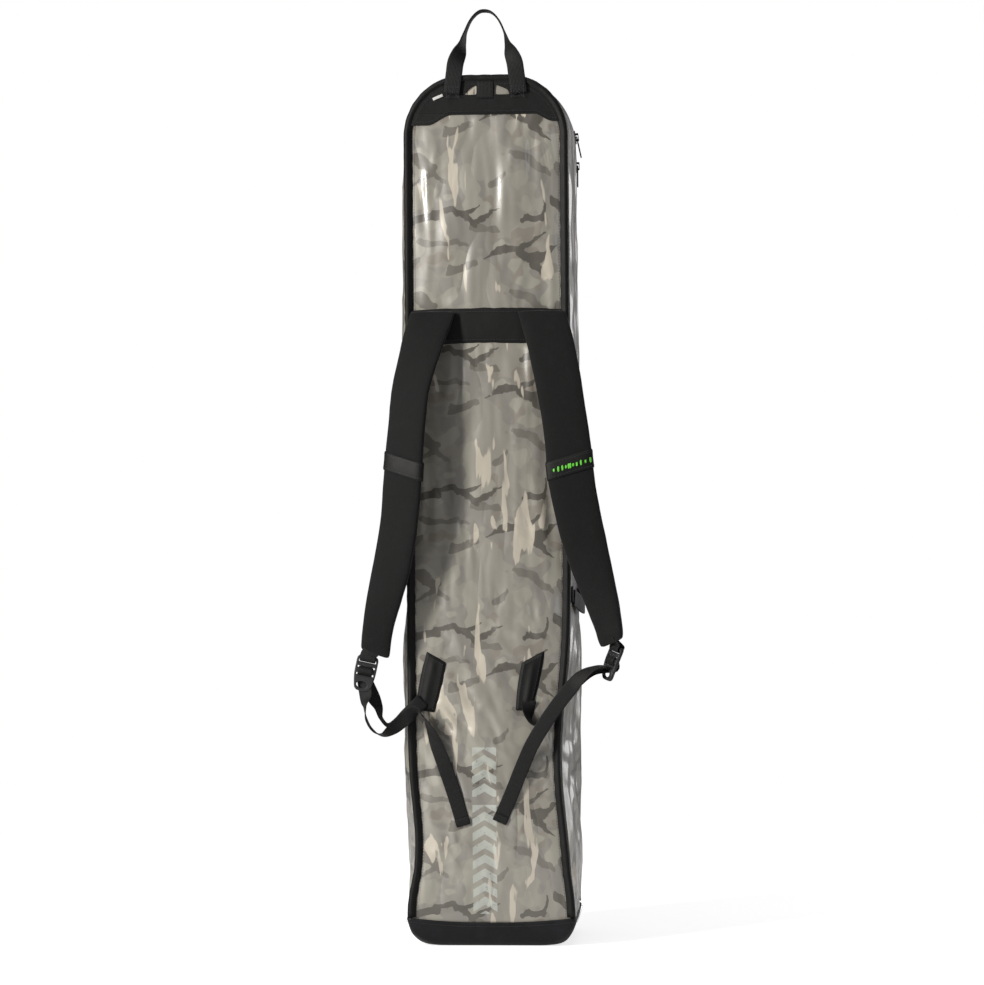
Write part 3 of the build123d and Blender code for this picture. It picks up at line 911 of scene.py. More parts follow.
def edge_piping(name, side, base, body, node_name):
    """The covered cord round the edge of a face, with the flap that sews it down."""
    face = back_face if side < 0 else lid_face
    fitted = stuffed if side < 0 else np.array
    reach = body_half - 4 * MM
    along, x, z, out_x, out_z = arch(reach, base, 5 * MM)
    # The section's points, as distances outwards and away from the face
    radius = 4.1 * MM
    section = [(radius * math.cos(a), radius * math.sin(a)) for a in np.linspace(-2.5, 2.2, 12)]
    section += [(-4 * MM, 1.6 * MM), (-6.2 * MM, 1.2 * MM), (-6.4 * MM, 0.2 * MM), (-4 * MM, -0.6 * MM)]
    pulled = 1 + 0.06 * np.sin(along * 900) * np.sin(along * 37)
    lines = [grid_of(x + out * out_x * pulled, face + side * away * pulled, z + out * out_z * pulled)
             for out, away in section]
    piece = add_grid(name, fitted(np.stack(lines, axis=1)), black, closed=True, capped=True, flip=side < 0)
    place(piece, body, "black_fabric", node_name)
    _, x, z, _, _ = arch(reach - 7.4 * MM, base, 12 * MM)
    seam = fitted(grid_of(x, face + side * 1.9 * MM, z))
    stitches(f"{name}_stitches", body, "black_fabric", [seam], (0, side, 0))


def band_piece(name, reach, back, front, base, thickness, material, shape=stuffed, step=8 * MM):
    """A plain band of one layer of the side wall."""
    grid, _, _ = side_grid(reach, back, front, base, step)
    return tailor(add_grid(name, shape(grid), material, flip=True), thickness, finer=False)


def slab_piece(name, node_name, body, seed, material):
    """One layer of a big face, lying between two depths."""
    low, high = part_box(node_name)
    outward, outer, inner = (-1, low.y, high.y) if body == "root" else (1, high.y, low.y)
    outer -= outward * 1.4 * MM
    inner -= outward * 1.2 * MM
    x, z = panel_rows(high.x - 1 * MM, low.z + 1 * MM, 8 * MM)
    points = grid_of(x, outer - outward * (0.6 * MM + folds(x, z, seed) * 0.5 * MM), z)
    if body == "root":
        points = stuffed(points)
    piece = add_grid(name, points, material, flip=outward > 0)
    return tailor(piece, abs(outer - inner) - 1.2 * MM, finer=False)


def padding_and_lining():
    """The foam and the lining of the body and of the lid."""
    def finish(piece, body, node_name):
        is_foam = node_name.endswith("foam")
        place(piece, body, "foam_padding" if is_foam else "lining_fabric", node_name)

    slabs = (
        ("back_foam", "back_padding", "root", foam_sheet),
        ("back_lining", "back_inner_cloth", "root", lining),
        ("lid_foam", "lid_padding", "lid", foam_sheet),
        ("lid_lining", "lid_inner_cloth", "lid", lining),
    )
    for seed, (node_name, name, body, material) in enumerate(slabs, 20):
        finish(slab_piece(name, node_name, body, seed, material), body, node_name)
    for node_name, name, material, inset, thickness in (
        ("gusset_foam", "side_padding", foam_sheet, 2.2 * MM, 3.4 * MM),
        ("gusset_lining", "side_inner_cloth", lining, 6.4 * MM, 0.8 * MM),
    ):
        low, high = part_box(node_name)
        piece = band_piece(name, body_half - inset, low.y, high.y, low.z, thickness, material)
        finish(piece, "root", node_name)


# Base

def rounded_ring(half_x, half_y, radius, height):
    """Points round a rectangle with round corners, at one height, and along its straight stretches."""
    turns = 7
    points = []
    for sign_x, sign_y, start in ((1, -1, -90), (1, 1, 0), (-1, 1, 90), (-1, -1, 180)):
        for k in range(turns + 1):
            angle = math.radians(start + 90 * k / turns)
            points.append((sign_x * (half_x - radius) + radius * math.cos(angle),
                           sign_y * (half_y - radius) + radius * math.sin(angle), height))
    filled = []
    for k, point in enumerate(points):
        filled.append(point)
        after = points[(k + 1) % len(points)]
        if (k + 1) % (turns + 1) == 0:
            count = 14 if abs(after[0] - point[0]) > abs(after[1] - point[1]) else 10
            for t in np.linspace(0, 1, count + 2)[1:-1]:
                filled.append(tuple(a + (b - a) * t for a, b in zip(point, after)))
    return np.array(filled)


def base_cup():
    """The black base: a sewn cup whose rim dips in the middle of each long side."""
    _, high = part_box("base_boot")
    half_x, half_y = high.x, high.y

    def dip(x):
        return 6 * MM * (1 - np.clip(np.abs(x) / half_x, 0, 1) ** 2)

    def away(row):
        return row * np.array([1, 1, 0]) / np.linalg.norm(row[:, :2], axis=1)[:, None]

    # Inset from the outline and height, in mm, from the middle of the ground up and down the inside
    wall_profile = (
        (60, 0), (40, 0), (27, 0), (21, 0.8), (16, 3.2), (12, 7), (8.6, 11.5), (5.8, 16.5), (3.2, 22.5),
        (1.2, 29), (0.4, 33.6), (0.8, 35.6), (2.2, 35.8), (3.6, 33), (5.4, 28), (8.4, 21), (11.6, 15),
        (16, 9), (22, 4.6), (30, 3), (60, 3),
    )
    rings = []
    for inset, height in wall_profile:
        radius = (6 + 14 * max(0, 1 - height / 26) ** 2 + 0.1 * inset) * MM
        rings.append(rounded_ring(half_x - inset * MM, half_y - inset * 0.7 * MM, radius, height * MM))
    points = np.array(rings)
    share = points[..., 2] / high.z
    points[..., 2] -= dip(points[..., 0]) * rise(share, 0.25, 1)
    wave = wrinkle(points, (45 * MM, 45 * MM, 16 * MM), 31) * 1.1 * MM * rise(share, 0.15, 0.5)
    points[..., :2] += unit(points[..., :2]) * (wave - 0.5 * MM)[..., None]
    piece = tailor(add_grid("base_cup", points, boot_cloth, closed=True, capped=True))
    place(piece, "root", "black_fabric", "base_boot")
    rim = rounded_ring(half_x + 0.3 * MM, half_y + 0.3 * MM, 6 * MM, high.z - 5 * MM)
    rim[:, 2] -= dip(rim[:, 0])
    stitches("base_rim_stitches", "root", "black_fabric", [np.vstack([rim, rim[:1]])], away)


# Top of the back

def filled_outline(name, outlines, thickness, edge, material):
    """A flat plate from outlines drawn as x and z, the first outside and the rest holes in it."""
    curve = bpy.data.curves.new(name, "CURVE")
    curve.dimensions = "2D"
    curve.fill_mode = "BOTH"
    curve.extrude = thickness / 2 - edge
    curve.bevel_depth = edge
    curve.bevel_resolution = 2
    curve.offset = -edge
    for outline in outlines:
        spline = curve.splines.new("POLY")
        spline.points.add(len(outline) - 1)
        for point, (x, z) in zip(spline.points, outline):
            point.co = (x, z, 0, 1)
        spline.use_cyclic_u = True
    drawn = link(name + "_outline", curve)
    bpy.context.view_layer.update()
    mesh = evaluated_mesh(drawn)
    bpy.data.objects.remove(drawn)
    mesh.name = name
    mesh.materials.clear()
    mesh.materials.append(material)
    mesh.transform(Matrix.Rotation(math.radians(90), 4, "X"))
    piece = link(name, mesh)
    join_close(piece, 1e-6)
    fix_normals(piece)
    return piece


def rounded_corners(corners, radius, turns=4):
    """The outline of a polygon with its corners cut round."""
    result = []
    count = len(corners)
    for i, corner in enumerate(corners):
        here = np.array(corner, float)
        before = np.array(corners[i - 1], float) - here
        after = np.array(corners[(i + 1) % count], float) - here
        reach = min(radius, 0.45 * np.linalg.norm(before), 0.45 * np.linalg.norm(after))
        start = here + before / np.linalg.norm(before) * reach
        end = here + after / np.linalg.norm(after) * reach
        for t in np.linspace(0, 1, turns + 1):
            result.append(tuple((1 - t) ** 2 * start + 2 * t * (1 - t) * here + t * t * end))
    return result


def top_patch():
    """The black cap over the top of the back, with its two windows and the hanging loop."""
    _, x, z, _, _ = arch(panel_half, corner_z, 5 * MM)
    upper = [(a, b) for a, b in zip(x, z) if b > cap_edge(a)]
    lower = [(a, float(cap_edge(a))) for a in np.linspace(upper[-1][0], upper[0][0], 41)]
    loop_low, loop_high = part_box("hanging_loop")
    # The windows' corners, in mm across from the middle and above the loop's foot
    windows = (((-11, 4), (-11, 16), (-17, 13), (-28, 4)), ((11, 4), (30, 4), (27, 10), (12, 16)))
    holes = []
    for window in windows:
        corners = [(across * MM, loop_low.z + up * MM) for across, up in window]
        holes.append(rounded_corners(corners, 2.5 * MM))
    piece = filled_outline("top_patch", [upper + lower, *holes], 1.5 * MM, 0.5 * MM, black)
    move_points(piece, stuffed(points_of(piece) + (0, back_face - 1.1 * MM, 0)))
    place(piece, "root", "black_fabric", "top_cap")
    line = [(a, back_face - 2.0 * MM, b + 4 * MM) for a, b in lower[1:-1]]
    stitches("top_patch_stitches", "root", "black_fabric", [stuffed(line)], (0, -1, 0))
    # The loop stands off the cap between its sewn ends: distance from the back in mm, and height
    ends = ((2.1, loop_low.z - 1 * MM), (2.6, loop_low.z + 7 * MM), (2.6, loop_low.z + 14 * MM),
            (2.1, loop_high.z + 1 * MM))
    route = [((0, back_face - off * MM, level), (1, 0, 0)) for off, level in ends]
    loop = webbing("hanging_strap", route, loop_high.x - loop_low.x, 1.2 * MM)
    place(loop, "root", "black_webbing", "hanging_loop")
    # A small slanting label beside the left foot of the handle: place across, distance and height, in mm
    spots = ((-63, 2.6, -1), (-57, 3.0, 1.6), (-51, 2.6, 4))
    route = [((across * MM, back_face - off * MM, loop_low.z + up * MM), (0.35, 0, -1))
             for across, off, up in spots]
    small = webbing("side_label", route, 3.4 * MM, 0.7 * MM, 1.5 * MM, pale_label)
    place(small, "root", "black_webbing")


def handle_webbing():
    """The carrying loop: one strap from its left foot over the top to its right foot."""
    foot_low, foot_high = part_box("right_handle_foot")
    plane = foot_low.y + 0.9 * MM
    right_foot = (foot_low.x + foot_high.x) / 2
    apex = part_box("top_handle")[1].z - 1.2 * MM
    # Share of the foot's distance from the middle, share of the height, turn from facing back
    side = (
        (1.06, -0.34, 0), (1.02, -0.16, 0), (0.98, 0.0, 0), (0.93, 0.17, 6), (0.81, 0.33, 34),
        (0.71, 0.47, 70), (0.61, 0.66, 88), (0.44, 0.85, 92), (0.22, 0.97, 92),
    )
    left = []
    for share, up, turn in side:
        angle = math.radians(turn)
        level = max(handle_pivot + up * (apex - handle_pivot), foot_low.z - 3 * MM)
        left.append(((-share * right_foot, plane, level), (math.cos(angle), math.sin(angle), 0)))
    right = [((-x, y, z), (-across, off, 0)) for (x, y, z), (across, off, _) in reversed(left)]
    route = [*left, ((-0.02 * right_foot, plane, apex), (0, 1, 0)), *right]
    piece = webbing("handle_strap", route, 20 * MM, 2.3 * MM)
    start, end = ((0, plane, handle_pivot + up * MM) for up in (-8, 16))
    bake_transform(piece)
    label(piece, "black_webbing", "left_handle_foot", "right_handle_foot", "top_handle")
    boxes = []
    for sign in (-1, 1):
        x = sign * right_foot * 1.03
        left_x, right_x = x - 7 * MM, x + 7 * MM
        low, high = foot_low.z + 1 * MM, foot_low.z + 13 * MM
        corners = [(left_x, low), (right_x, low), (right_x, high), (left_x, high)]
        for first, second in ((0, 1), (1, 2), (2, 3), (3, 0), (0, 2), (1, 3)):
            ends = [np.array((a, plane - 1.3 * MM, b)) for a, b in (corners[first], corners[second])]
            boxes.append([ends[0] + (ends[1] - ends[0]) * t for t in (0, 0.5, 1)])
    stitches("handle_box_stitches", "root", "black_webbing", boxes, (0, -1, 0), 2.9 * MM)


# Harness anchors

def yoke_band():
    """The padded black band that the shoulder straps are sewn to."""
    low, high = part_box("shoulder_yoke")
    x = np.linspace(low.x, high.x, 49)
    foot = low.z + 3 * MM * (1 - (x / high.x) ** 2) - 1 * MM
    # Share of the band's height, and how far it stands off the back in mm
    profile = ((0, 0.2), (0.02, 1.6), (0.06, 2.3), (0.25, 2.9), (0.5, 3.1), (0.75, 2.9), (0.94, 2.3),
               (0.98, 1.6), (1, 0.2))
    points = np.array([grid_of(x, back_face - proud * MM, foot + share * (high.z - low.z + 1 * MM))
                       for share, proud in profile])
    soft = wrinkle(points, (30 * MM, 1, 18 * MM), 41) * 0.4 * MM
    points[..., 1] -= soft * (points[..., 1] < back_face - 2 * MM)
    piece = tailor(add_grid("yoke_band", stuffed(points), black), 1.2 * MM)
    place(piece, "root", "black_fabric", "shoulder_yoke")
    lines = [stuffed(grid_of(x, back_face - 2.9 * MM, foot + share * (high.z - low.z)))[2:-2]
             for share in (0.1, 0.9)]
    stitches("yoke_stitches", "root", "black_fabric", lines, (0, -1, 0))


def anchor_wings():
    """The four-cornered patches that hold the lower webbing, lower on their inner sides."""
    # Outer foot, inner foot, inner top and outer top, as shares of the patch's box from its left and foot
    shapes = {
        "left": ((0.0, 0.03), (0.61, 0.0), (1.0, 0.8), (0.37, 1.0)),
        "right": ((0.63, 0.0), (0.0, 0.0), (0.17, 0.79), (1.0, 1.0)),
    }
    across, up = np.meshgrid(np.linspace(0, 1, 15), np.linspace(0, 1, 31))
    corner_shares = ((1 - across) * (1 - up), across * (1 - up), across * up, (1 - across) * up)
    edge_x = 1 - np.abs(2 * across - 1)
    edge_z = 1 - np.abs(2 * up - 1)
    proud = 1.2 * MM + 2.2 * MM * rise(edge_x, 0, 0.25) * rise(edge_z, 0, 0.1)
    proud = proud + 1.6 * MM * hump(across, 0.42, 0.16) * rise(edge_z, 0, 0.5)
    for side, shape in shapes.items():
        sign = -1 if side == "right" else 1
        low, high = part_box(f"{side}_anchor_wing")
        corners = [(low.x + right * (high.x - low.x), low.z + lift * (high.z - low.z))
                   for right, lift in shape]
        x, z = (sum(corner[k] * share for corner, share in zip(corners, corner_shares)) for k in (0, 1))
        bow = 1.6 * MM * (1 - (2 * up - 1) ** 2) * (2 * across - 1) * sign
        points = grid_of(x + bow, back_face - proud, z)
        soft = wrinkle(points, (16 * MM, 1, 40 * MM), 45) * 0.6 * MM
        points[..., 1] -= soft * rise(edge_x, 0, 0.3) * rise(edge_z, 0, 0.2)
        piece = tailor(add_grid(f"{side}_wing", stuffed(points), black, flip=sign < 0), 1.6 * MM)
        place(piece, "root", "black_fabric", f"{side}_anchor_wing")
        points[..., 1] -= 0.2 * MM
        lines = [stuffed(line) for line in (points[2:-2, 2], points[2:-2, -3], points[-3, 2:-2])]
        stitches(f"{side}_wing_stitches", "root", "black_fabric", lines, (0, -1, 0))


# Shoulder straps

def section_of(node_name, height):
    """The level section of a CAD solid: its centre, its unit direction across, width and thickness."""
    mesh = frame["nodes"][node_name].data
    vertices = points_of(frame["nodes"][node_name])
    segments = []
    for polygon in mesh.polygons:
        ring = vertices[list(polygon.vertices)]
        crossings = []
        for a, b in zip(ring, np.roll(ring, -1, axis=0)):
            if (a[2] - height) * (b[2] - height) < 0:
                t = (height - a[2]) / (b[2] - a[2])
                crossings.append((a + (b - a) * t)[:2])
        if len(crossings) == 2:
            segments.append(crossings)
    segments = np.array(segments)
    # Long segments say which way the section lies. Squaring makes both ways along a segment count alike.
    steps = (segments[:, 1] - segments[:, 0]) @ (1, 1j)
    way = np.exp(0.5j * np.angle(np.sum(np.abs(steps) * steps ** 2)))
    across = np.array([way.real, way.imag]) * (-1 if way.real < 0 else 1)
    through = np.array([across[1], -across[0]])
    ends = segments.reshape(-1, 2)
    along_across = ends @ across
    along_through = ends @ through
    centre = (across * (along_across.max() + along_across.min())
              + through * (along_through.max() + along_through.min())) / 2
    return np.array([*centre, *across, np.ptp(along_across), np.ptp(along_through)])


class Pad:
    """A shoulder pad's surface, worked out from its CAD solid."""

    def __init__(self, side):
        self.sign = -1 if side == "left" else 1
        low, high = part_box(f"{side}_strap_pad")
        self.low, self.high = low.z, high.z
        self.groove_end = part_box(f"{side}_strap_keeper")[1].z - 8 * MM
        self.heights = np.linspace(low.z + 1 * MM, high.z - 1 * MM, 26)
        rows = np.array([section_of(f"{side}_strap_pad", z) for z in self.heights])
        rows = np.vstack([rows[:1], rows, rows[-1:]])
        self.rows = (rows[:-2] + 2 * rows[1:-1] + rows[2:]) / 4

    def section(self, height):
        return between(height, self.heights, self.rows)

    def at(self, height, angle, out=0.0, width_share=1.0, depth_share=1.0):
        """A point on the pad: angle 0 is its edge away from the middle and 90 its outer face."""
        section = self.section(height)
        width, depth = section[4:]
        across = unit(section[2:4]) * self.sign
        through = np.array([across[1], -across[0]]) * self.sign
        flat = squared_off(math.cos(angle), 0.45)
        proud = squared_off(math.sin(angle), 0.62)
        crown = 1.0 + 0.16 * (1 - flat * flat) if proud > 0 else 0.9
        seam = 2.0 * MM * math.exp(-((flat - 0.3) / 0.07) ** 2) * (proud > 0) * (height > self.groove_end)
        reach = width / 2 * width_share + out
        thick = (depth / 2 * crown) * depth_share + out - seam
        return np.array([*(section[:2] + across * flat * reach + through * proud * thick), height])


def strap_pad(side, pad):
    """The pad's knit cover, from the yoke to its slanted foot."""
    angles = round_angles(44)
    slanted = squared_off(np.cos(angles), 0.45)
    rows = []
    for height in np.linspace(pad.high - 0.5 * MM, pad.low + 0.5 * MM, 130):
        from_foot = height - pad.low
        from_top = pad.high - height
        narrow = min(1.0, 0.88 + 0.12 * math.sqrt(max(0.0, from_foot) / (5 * MM)))
        slim = min(1.0, 0.45 + from_foot / (18 * MM)) * min(1.0, 0.45 + from_top / (40 * MM))
        ring = np.array([pad.at(height, a, 0, narrow, slim) for a in angles])
        # The foot is cut at a slant, longer on the side towards the middle.
        ring[:, 2] += 6 * MM * slanted * max(0.0, 1 - from_foot / (34 * MM))
        rows.append(ring)
    points = np.array(rows)
    soft = wrinkle(points, (40 * MM, 40 * MM, 60 * MM), 51 if side == "left" else 57) * 0.9 * MM
    points += unit(points - points.mean(axis=1, keepdims=True)) * soft[..., None]
    piece = add_grid(f"{side}_pad", points, knit_cloth, closed=True, capped=True, flip=pad.sign > 0)
    fix_normals(piece)
    tailor(piece)
    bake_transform(piece)
    label(piece, "strap_knit", f"{side}_strap_pad")


def strap_keeper(side, pad):
    """The slanted sleeve round the pad, with a row of plain dashes on the right one."""
    low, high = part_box(f"{side}_strap_keeper")
    middle = (low.z + high.z) / 2
    half = 11 * MM
    slant = math.tan(math.radians(16))
    width = pad.section(middle)[4] / 2

    def spot(share, angle, out):
        level = middle + slant * squared_off(math.cos(angle), 0.45) * width + share * half
        return pad.at(level, angle, out)

    # Share of the sleeve's half height, and how far it stands off the pad in mm
    profile = ((-1, 0.2), (-1, 1.0), (-0.85, 1.4), (0, 1.2), (0.85, 1.4), (1, 1.0), (1, 0.2), (-1, 0.2))
    points = [[spot(share, a, out * MM) for a in round_angles(44)] for share, out in profile]
    piece = add_grid(f"{side}_keeper", points, black, closed=True)
    join_close(piece, 0.01 * MM)
    fix_normals(piece)
    place(piece, f"{side}_strap", "black_fabric", f"{side}_strap_keeper")
    face = np.linspace(0.35, math.pi - 0.35, 15)
    lines = [[spot(share, a, 1.45 * MM) for a in face] for share in (-0.72, 0.72)]
    stitches(f"{side}_keeper_stitches", f"{side}_strap", "black_fabric", lines, (0, -1, 0))
    if side == "right":
        keeper_dashes(spot)


def keeper_dashes(spot):
    """Embroidered green dashes, thick and thin by turns, across the right sleeve."""
    places = []
    axes = []
    for k, angle in enumerate(np.arccos(np.clip(np.linspace(-0.72, 0.9, 11), -1, 1) ** 3)):
        here = spot(-0.1, angle, 1.9 * MM)
        up = unit(spot(0.25, angle, 1.9 * MM) - here)
        side = unit(spot(-0.1, angle - 0.05, 1.9 * MM) - here)
        size = 1.0 if k % 3 else 0.6
        places.append(here)
        axes.append([up * size, side, np.cross(up, side)])
    dash = capsule(6.2 * MM, 2.6 * MM, 0.7 * MM, 8)
    piece = copies("keeper_dashes", dash, np.array(places), np.array(axes), green_thread)
    fix_normals(piece)
    place(piece, "right_strap", "black_fabric")


class LockPlace:
    """Where a ladder lock hangs. Its own axes are right, out of its face, and up from its foot."""

    def __init__(self, side):
        low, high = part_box(f"{side}_ladder_lock")
        values = section_of(f"{side}_ladder_lock", low.z + 2 * MM)
        across = values[2:4] / np.linalg.norm(values[2:4])
        self.across = np.array([across[0], across[1], 0])
        self.face = np.array([across[1], -across[0], 0])
        self.height = high.z - low.z
        self.lift, self.tilt = (3 * MM, math.radians(12)) if side == "left" else (6 * MM, math.radians(19))
        self.top = np.array([(low.x + high.x) / 2, (low.y + high.y) / 2, high.z + self.lift])

    def tilted(self, vector):
        """Leans a direction so that the lock's foot hangs to the left of its top."""
        x, y, z = vector
        c, s = math.cos(self.tilt), math.sin(self.tilt)
        return np.array([x * c + z * s, y, z * c - x * s])

    def at(self, right, out, up):
        local = self.across * right + self.face * out + np.array([0, 0, up - self.height])
        return self.top + self.tilted(local)

    def way(self, right, out, up):
        return self.tilted(self.across * right + self.face * out + np.array([0, 0, up]))


def ladder_lock(side, lock):
    """A moulded buckle: a bar for its strap, a ribbed bar for the webbing and a thumb tab with a hole."""
    height = lock.height
    half = 13 * MM
    foot_half = half * 0.72
    slot_half = 10.6 * MM
    waist = height - 24 * MM
    foot = 1 * MM
    left_side = [(-half, height), (-half, waist), (-foot_half, foot)]
    outline = rounded_corners([*left_side, *((-x, z) for x, z in reversed(left_side))], 6 * MM)
    holes = []
    # The slots' edges, in mm below the buckle's top
    for bottom, top in ((8.3, 5.3), (15.3, 13.2), (24, 21.8)):
        low, high = height - bottom * MM, height - top * MM
        corners = [(-slot_half, low), (-slot_half, high), (slot_half, high), (slot_half, low)]
        holes.append(rounded_corners(corners, 1.2 * MM))
    thumb_hole = [((6.6 * math.cos(a) - 1.5) * MM, (4.0 * math.sin(a) + 8.5) * MM)
                  for a in round_angles(20)]
    holes.append(thumb_hole)
    piece = filled_outline(f"{side}_buckle", [outline, *holes], 4.6 * MM, 1.4 * MM, acetal)
    ribs = np.array([(0, -2.2 * MM, height - level * MM) for level in (2.6, 10.8, 17.4, 19.6, 26.4)])
    ribbed = copies(f"{side}_buckle_ribs", capsule(23 * MM, 1.5 * MM, 1.7 * MM, 8), ribs,
                    np.tile(np.eye(3), (len(ribs), 1, 1)), acetal)
    reshape(piece, lambda mesh: mesh.from_mesh(ribbed.data))
    bpy.data.objects.remove(ribbed)
    local = points_of(piece)
    bow = 1.8 * MM * (2 * local[:, 2] / height - 1) ** 2
    move_points(piece, [lock.at(x, -y - b, z) for (x, y, z), b in zip(local, bow)])
    fix_normals(piece)
    piece.data.polygons.foreach_set("use_smooth", [False] * len(piece.data.polygons))
    place(piece, f"{side}_strap", "buckle_plastic", f"{side}_ladder_lock")


def loop_around_bar(side, lock, pad):
    """The doubled webbing from the pad's foot round the buckle's top bar."""
    anchor = np.array([*pad.section(pad.low + 8 * MM)[:2], pad.low + 9 * MM])
    across = lock.way(1, 0, 0)
    # How far out of the buckle's face, and how far above its top, in mm
    steps = ((3.4, 2), (4.0, -2.6), (2.6, -6.4), (0, -7.2), (-2.6, -6.4), (-4.0, -2.6), (-3.4, 2))
    route = [(lock.at(0, out * MM, lock.height + up * MM), across) for out, up in steps]
    route = [(anchor + lock.face * 2 * MM, across), *route, (anchor - lock.face * 2 * MM, across)]
    piece = webbing(f"{side}_bar_loop", route, 19 * MM, 1.3 * MM, 1.5 * MM)
    place(piece, f"{side}_strap", "black_webbing", f"{side}_lock_loop")


def through_lock(lock):
    """The webbing's way up behind the buckle, over its ribbed bar and down behind it again."""
    across = lock.way(1, 0, 0)
    steps = ((-5.8, 16), (-4.8, 25), (-0.2, 30), (3.6, 28), (3.8, 24), (0.2, 21.2), (-3.6, 16))
    return [(lock.at(0, out * MM, up * MM), across) for out, up in steps]


# The adjuster webbing, in mm: each point on its way, and the direction across it there
left_before_lock = (
    ((-80, -80.5, 297), (-0.55, 0, 0.83)), ((-88, -83, 289), (-0.5, 0.1, 0.85)),
    ((-98, -85, 280), (-0.45, 0.3, 0.8)), ((-110, -88, 270), (-0.3, 0.7, 0.6)),
    ((-121, -91, 267), (-0.05, 1, 0.2)), ((-129, -93.5, 276), (0.1, 1, 0)),
    ((-132, -94.5, 289), (0.5, 0.9, 0)), ((-138, -94.5, 301), (0.9, 0.5, 0)),
)
left_after_lock = (
    ((-147, -99, 303), (0.9, -0.5, 0)), ((-147.5, -103, 291), (0.3, -1, 0)),
    ((-146, -104, 276), (0, -1, 0)), ((-139, -103, 263), (0, -1, 0)),
    ((-128, -101, 257), (-0.15, -1, 0.25)), ((-114, -98, 264), (-0.45, -0.6, 0.7)),
    ((-100, -96, 276), (-0.6, -0.1, 0.8)), ((-89, -94, 283), (-0.5, -0.5, 0.7)),
    ((-80, -92, 279), (-0.1, -1, 0.2)), ((-71, -90.5, 263), (0.5, -0.85, 0.2)),
    ((-62, -88, 240), (0.9, -0.3, 0.35)), ((-51, -84.5, 209), (0.93, 0, 0.35)),
    ((-41, -82.5, 178), (0.95, 0, 0.3)), ((-32, -81.5, 147), (0.96, 0, 0.27)),
)
right_before_lock = (
    ((47, -80.5, 296), (-1, 0, 0)), ((46.5, -83, 285), (-0.8, -0.6, 0)),
    ((48, -86, 273), (-0.2, -1, 0)), ((56, -88, 267), (0, -1, 0)),
    ((67, -89, 275), (0.1, -1, -0.1)), ((80, -90, 289), (0.3, -0.9, -0.2)),
    ((95, -92, 307), (0.5, -0.7, -0.5)), ((110, -94, 322), (0.5, -0.7, -0.5)),
    ((127, -97, 331), (0.3, -0.9, -0.3)),
)
right_after_lock = (
    ((140, -104, 338), (0.2, -1, 0)), ((125, -106, 335), (0.15, -0.95, -0.25)),
    ((110, -106, 325), (0.4, -0.55, -0.7)), ((98, -104.5, 311), (0.62, 0, -0.78)),
    ((85, -102, 295), (0.66, 0, -0.75)), ((68, -99, 271), (0.75, 0, -0.66)),
    ((51, -94, 243), (0.86, 0, -0.5)), ((38, -88, 214), (0.92, 0, -0.4)),
    ((24, -84, 180), (0.93, 0, -0.37)), ((11, -82, 151), (0.93, 0, -0.37)),
)


def adjuster(side, before, lock, after):
    """The webbing from its wing through the buckle and back down as a free tail with a folded end."""
    width, thickness = 17.4 * MM, 1.5 * MM
    first, last = ([(np.array(point) * MM, across) for point, across in part] for part in (before, after))
    route = [*first, *through_lock(lock), *last]
    piece = webbing(f"{side}_adjuster", route, width, thickness, 2 * MM)
    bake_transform(piece)
    label(piece, "black_webbing", f"{side}_adjuster_run", f"{side}_adjuster_tail")
    (end, across), (earlier, _) = route[-1], route[-2]
    way = unit(end - earlier)
    # The folded end, on the tail's outer face: how far past the tail's end, and how far off it, in mm
    hem = [(end + way * past * MM - (0, off * MM, 0), across)
           for past, off in ((-9, 1.3), (-4, 1.5), (0.6, 0.9))]
    folded = webbing(f"{side}_adjuster_hem", hem, width, thickness, 1.5 * MM)
    place(folded, "root", "black_webbing")


def harness():
    """The shoulder straps with their buckles, and the adjuster webbing down to the wings."""
    locks = {}
    for side in ("left", "right"):
        pad = Pad(side)
        strap_pad(side, pad)
        strap_keeper(side, pad)
        locks[side] = LockPlace(side)
        ladder_lock(side, locks[side])
        loop_around_bar(side, locks[side], pad)
    adjuster("left", left_before_lock, locks["left"], left_after_lock)
    adjuster("right", right_before_lock, locks["right"], right_after_lock)


# Side handle

def side_grip():
    """The webbing grip on the right side and its two sewn feet."""
    low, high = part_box("side_handle_feet")

    def on_side(y, z, out):
        return stuffed((body_half, y, z)) + (out, 0, 0)

    for name, y, inward in (("rear", low.y + 5.5 * MM, 1), ("fore", high.y - 5.5 * MM, -1)):
        route = [(on_side(y + inward * reach * MM, grip_level, 1.4 * MM), (0, 0, 1))
                 for reach in (-6, 0, 6)]
        foot = webbing(f"side_grip_{name}_foot", route, 20 * MM, 1.8 * MM)
        place(foot, "root", "black_webbing", *(("side_handle_feet",) if name == "rear" else ()))
    grip_low, grip_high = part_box("side_handle")
    span = grip_high.y - grip_low.y
    droop = 0.75 * (high.z - grip_low.z)
    top = grip_high.z - 10.4 * MM
    # Share of the span, distance from the gusset in mm, share of the droop
    shape = ((-0.03, 2.6, 0.0), (0.1, 5, 0.1), (0.3, 9, 0.34), (0.5, 11, 0.42), (0.7, 9, 0.34),
             (0.9, 5, 0.1), (1.03, 2.6, 0.0))
    route = [(on_side(grip_low.y + share * span, top, out * MM) - (0, 0, drop * droop), (0, 0, 1))
             for share, out, drop in shape]
    place(webbing("side_grip", route, 20 * MM, 2.2 * MM), "side_handle", "black_webbing", "side_handle")


# Zips

def coil(name, path, axes, length, body, node_name):
    """Rows of a coil zip: a small rounded loop for every turn of the coil."""
    piece = copies(name, capsule(length, 0.95 * MM, 1.9 * MM), path, axes, nylon)
    fix_normals(piece)
    place(piece, body, "zip_coil", node_name)


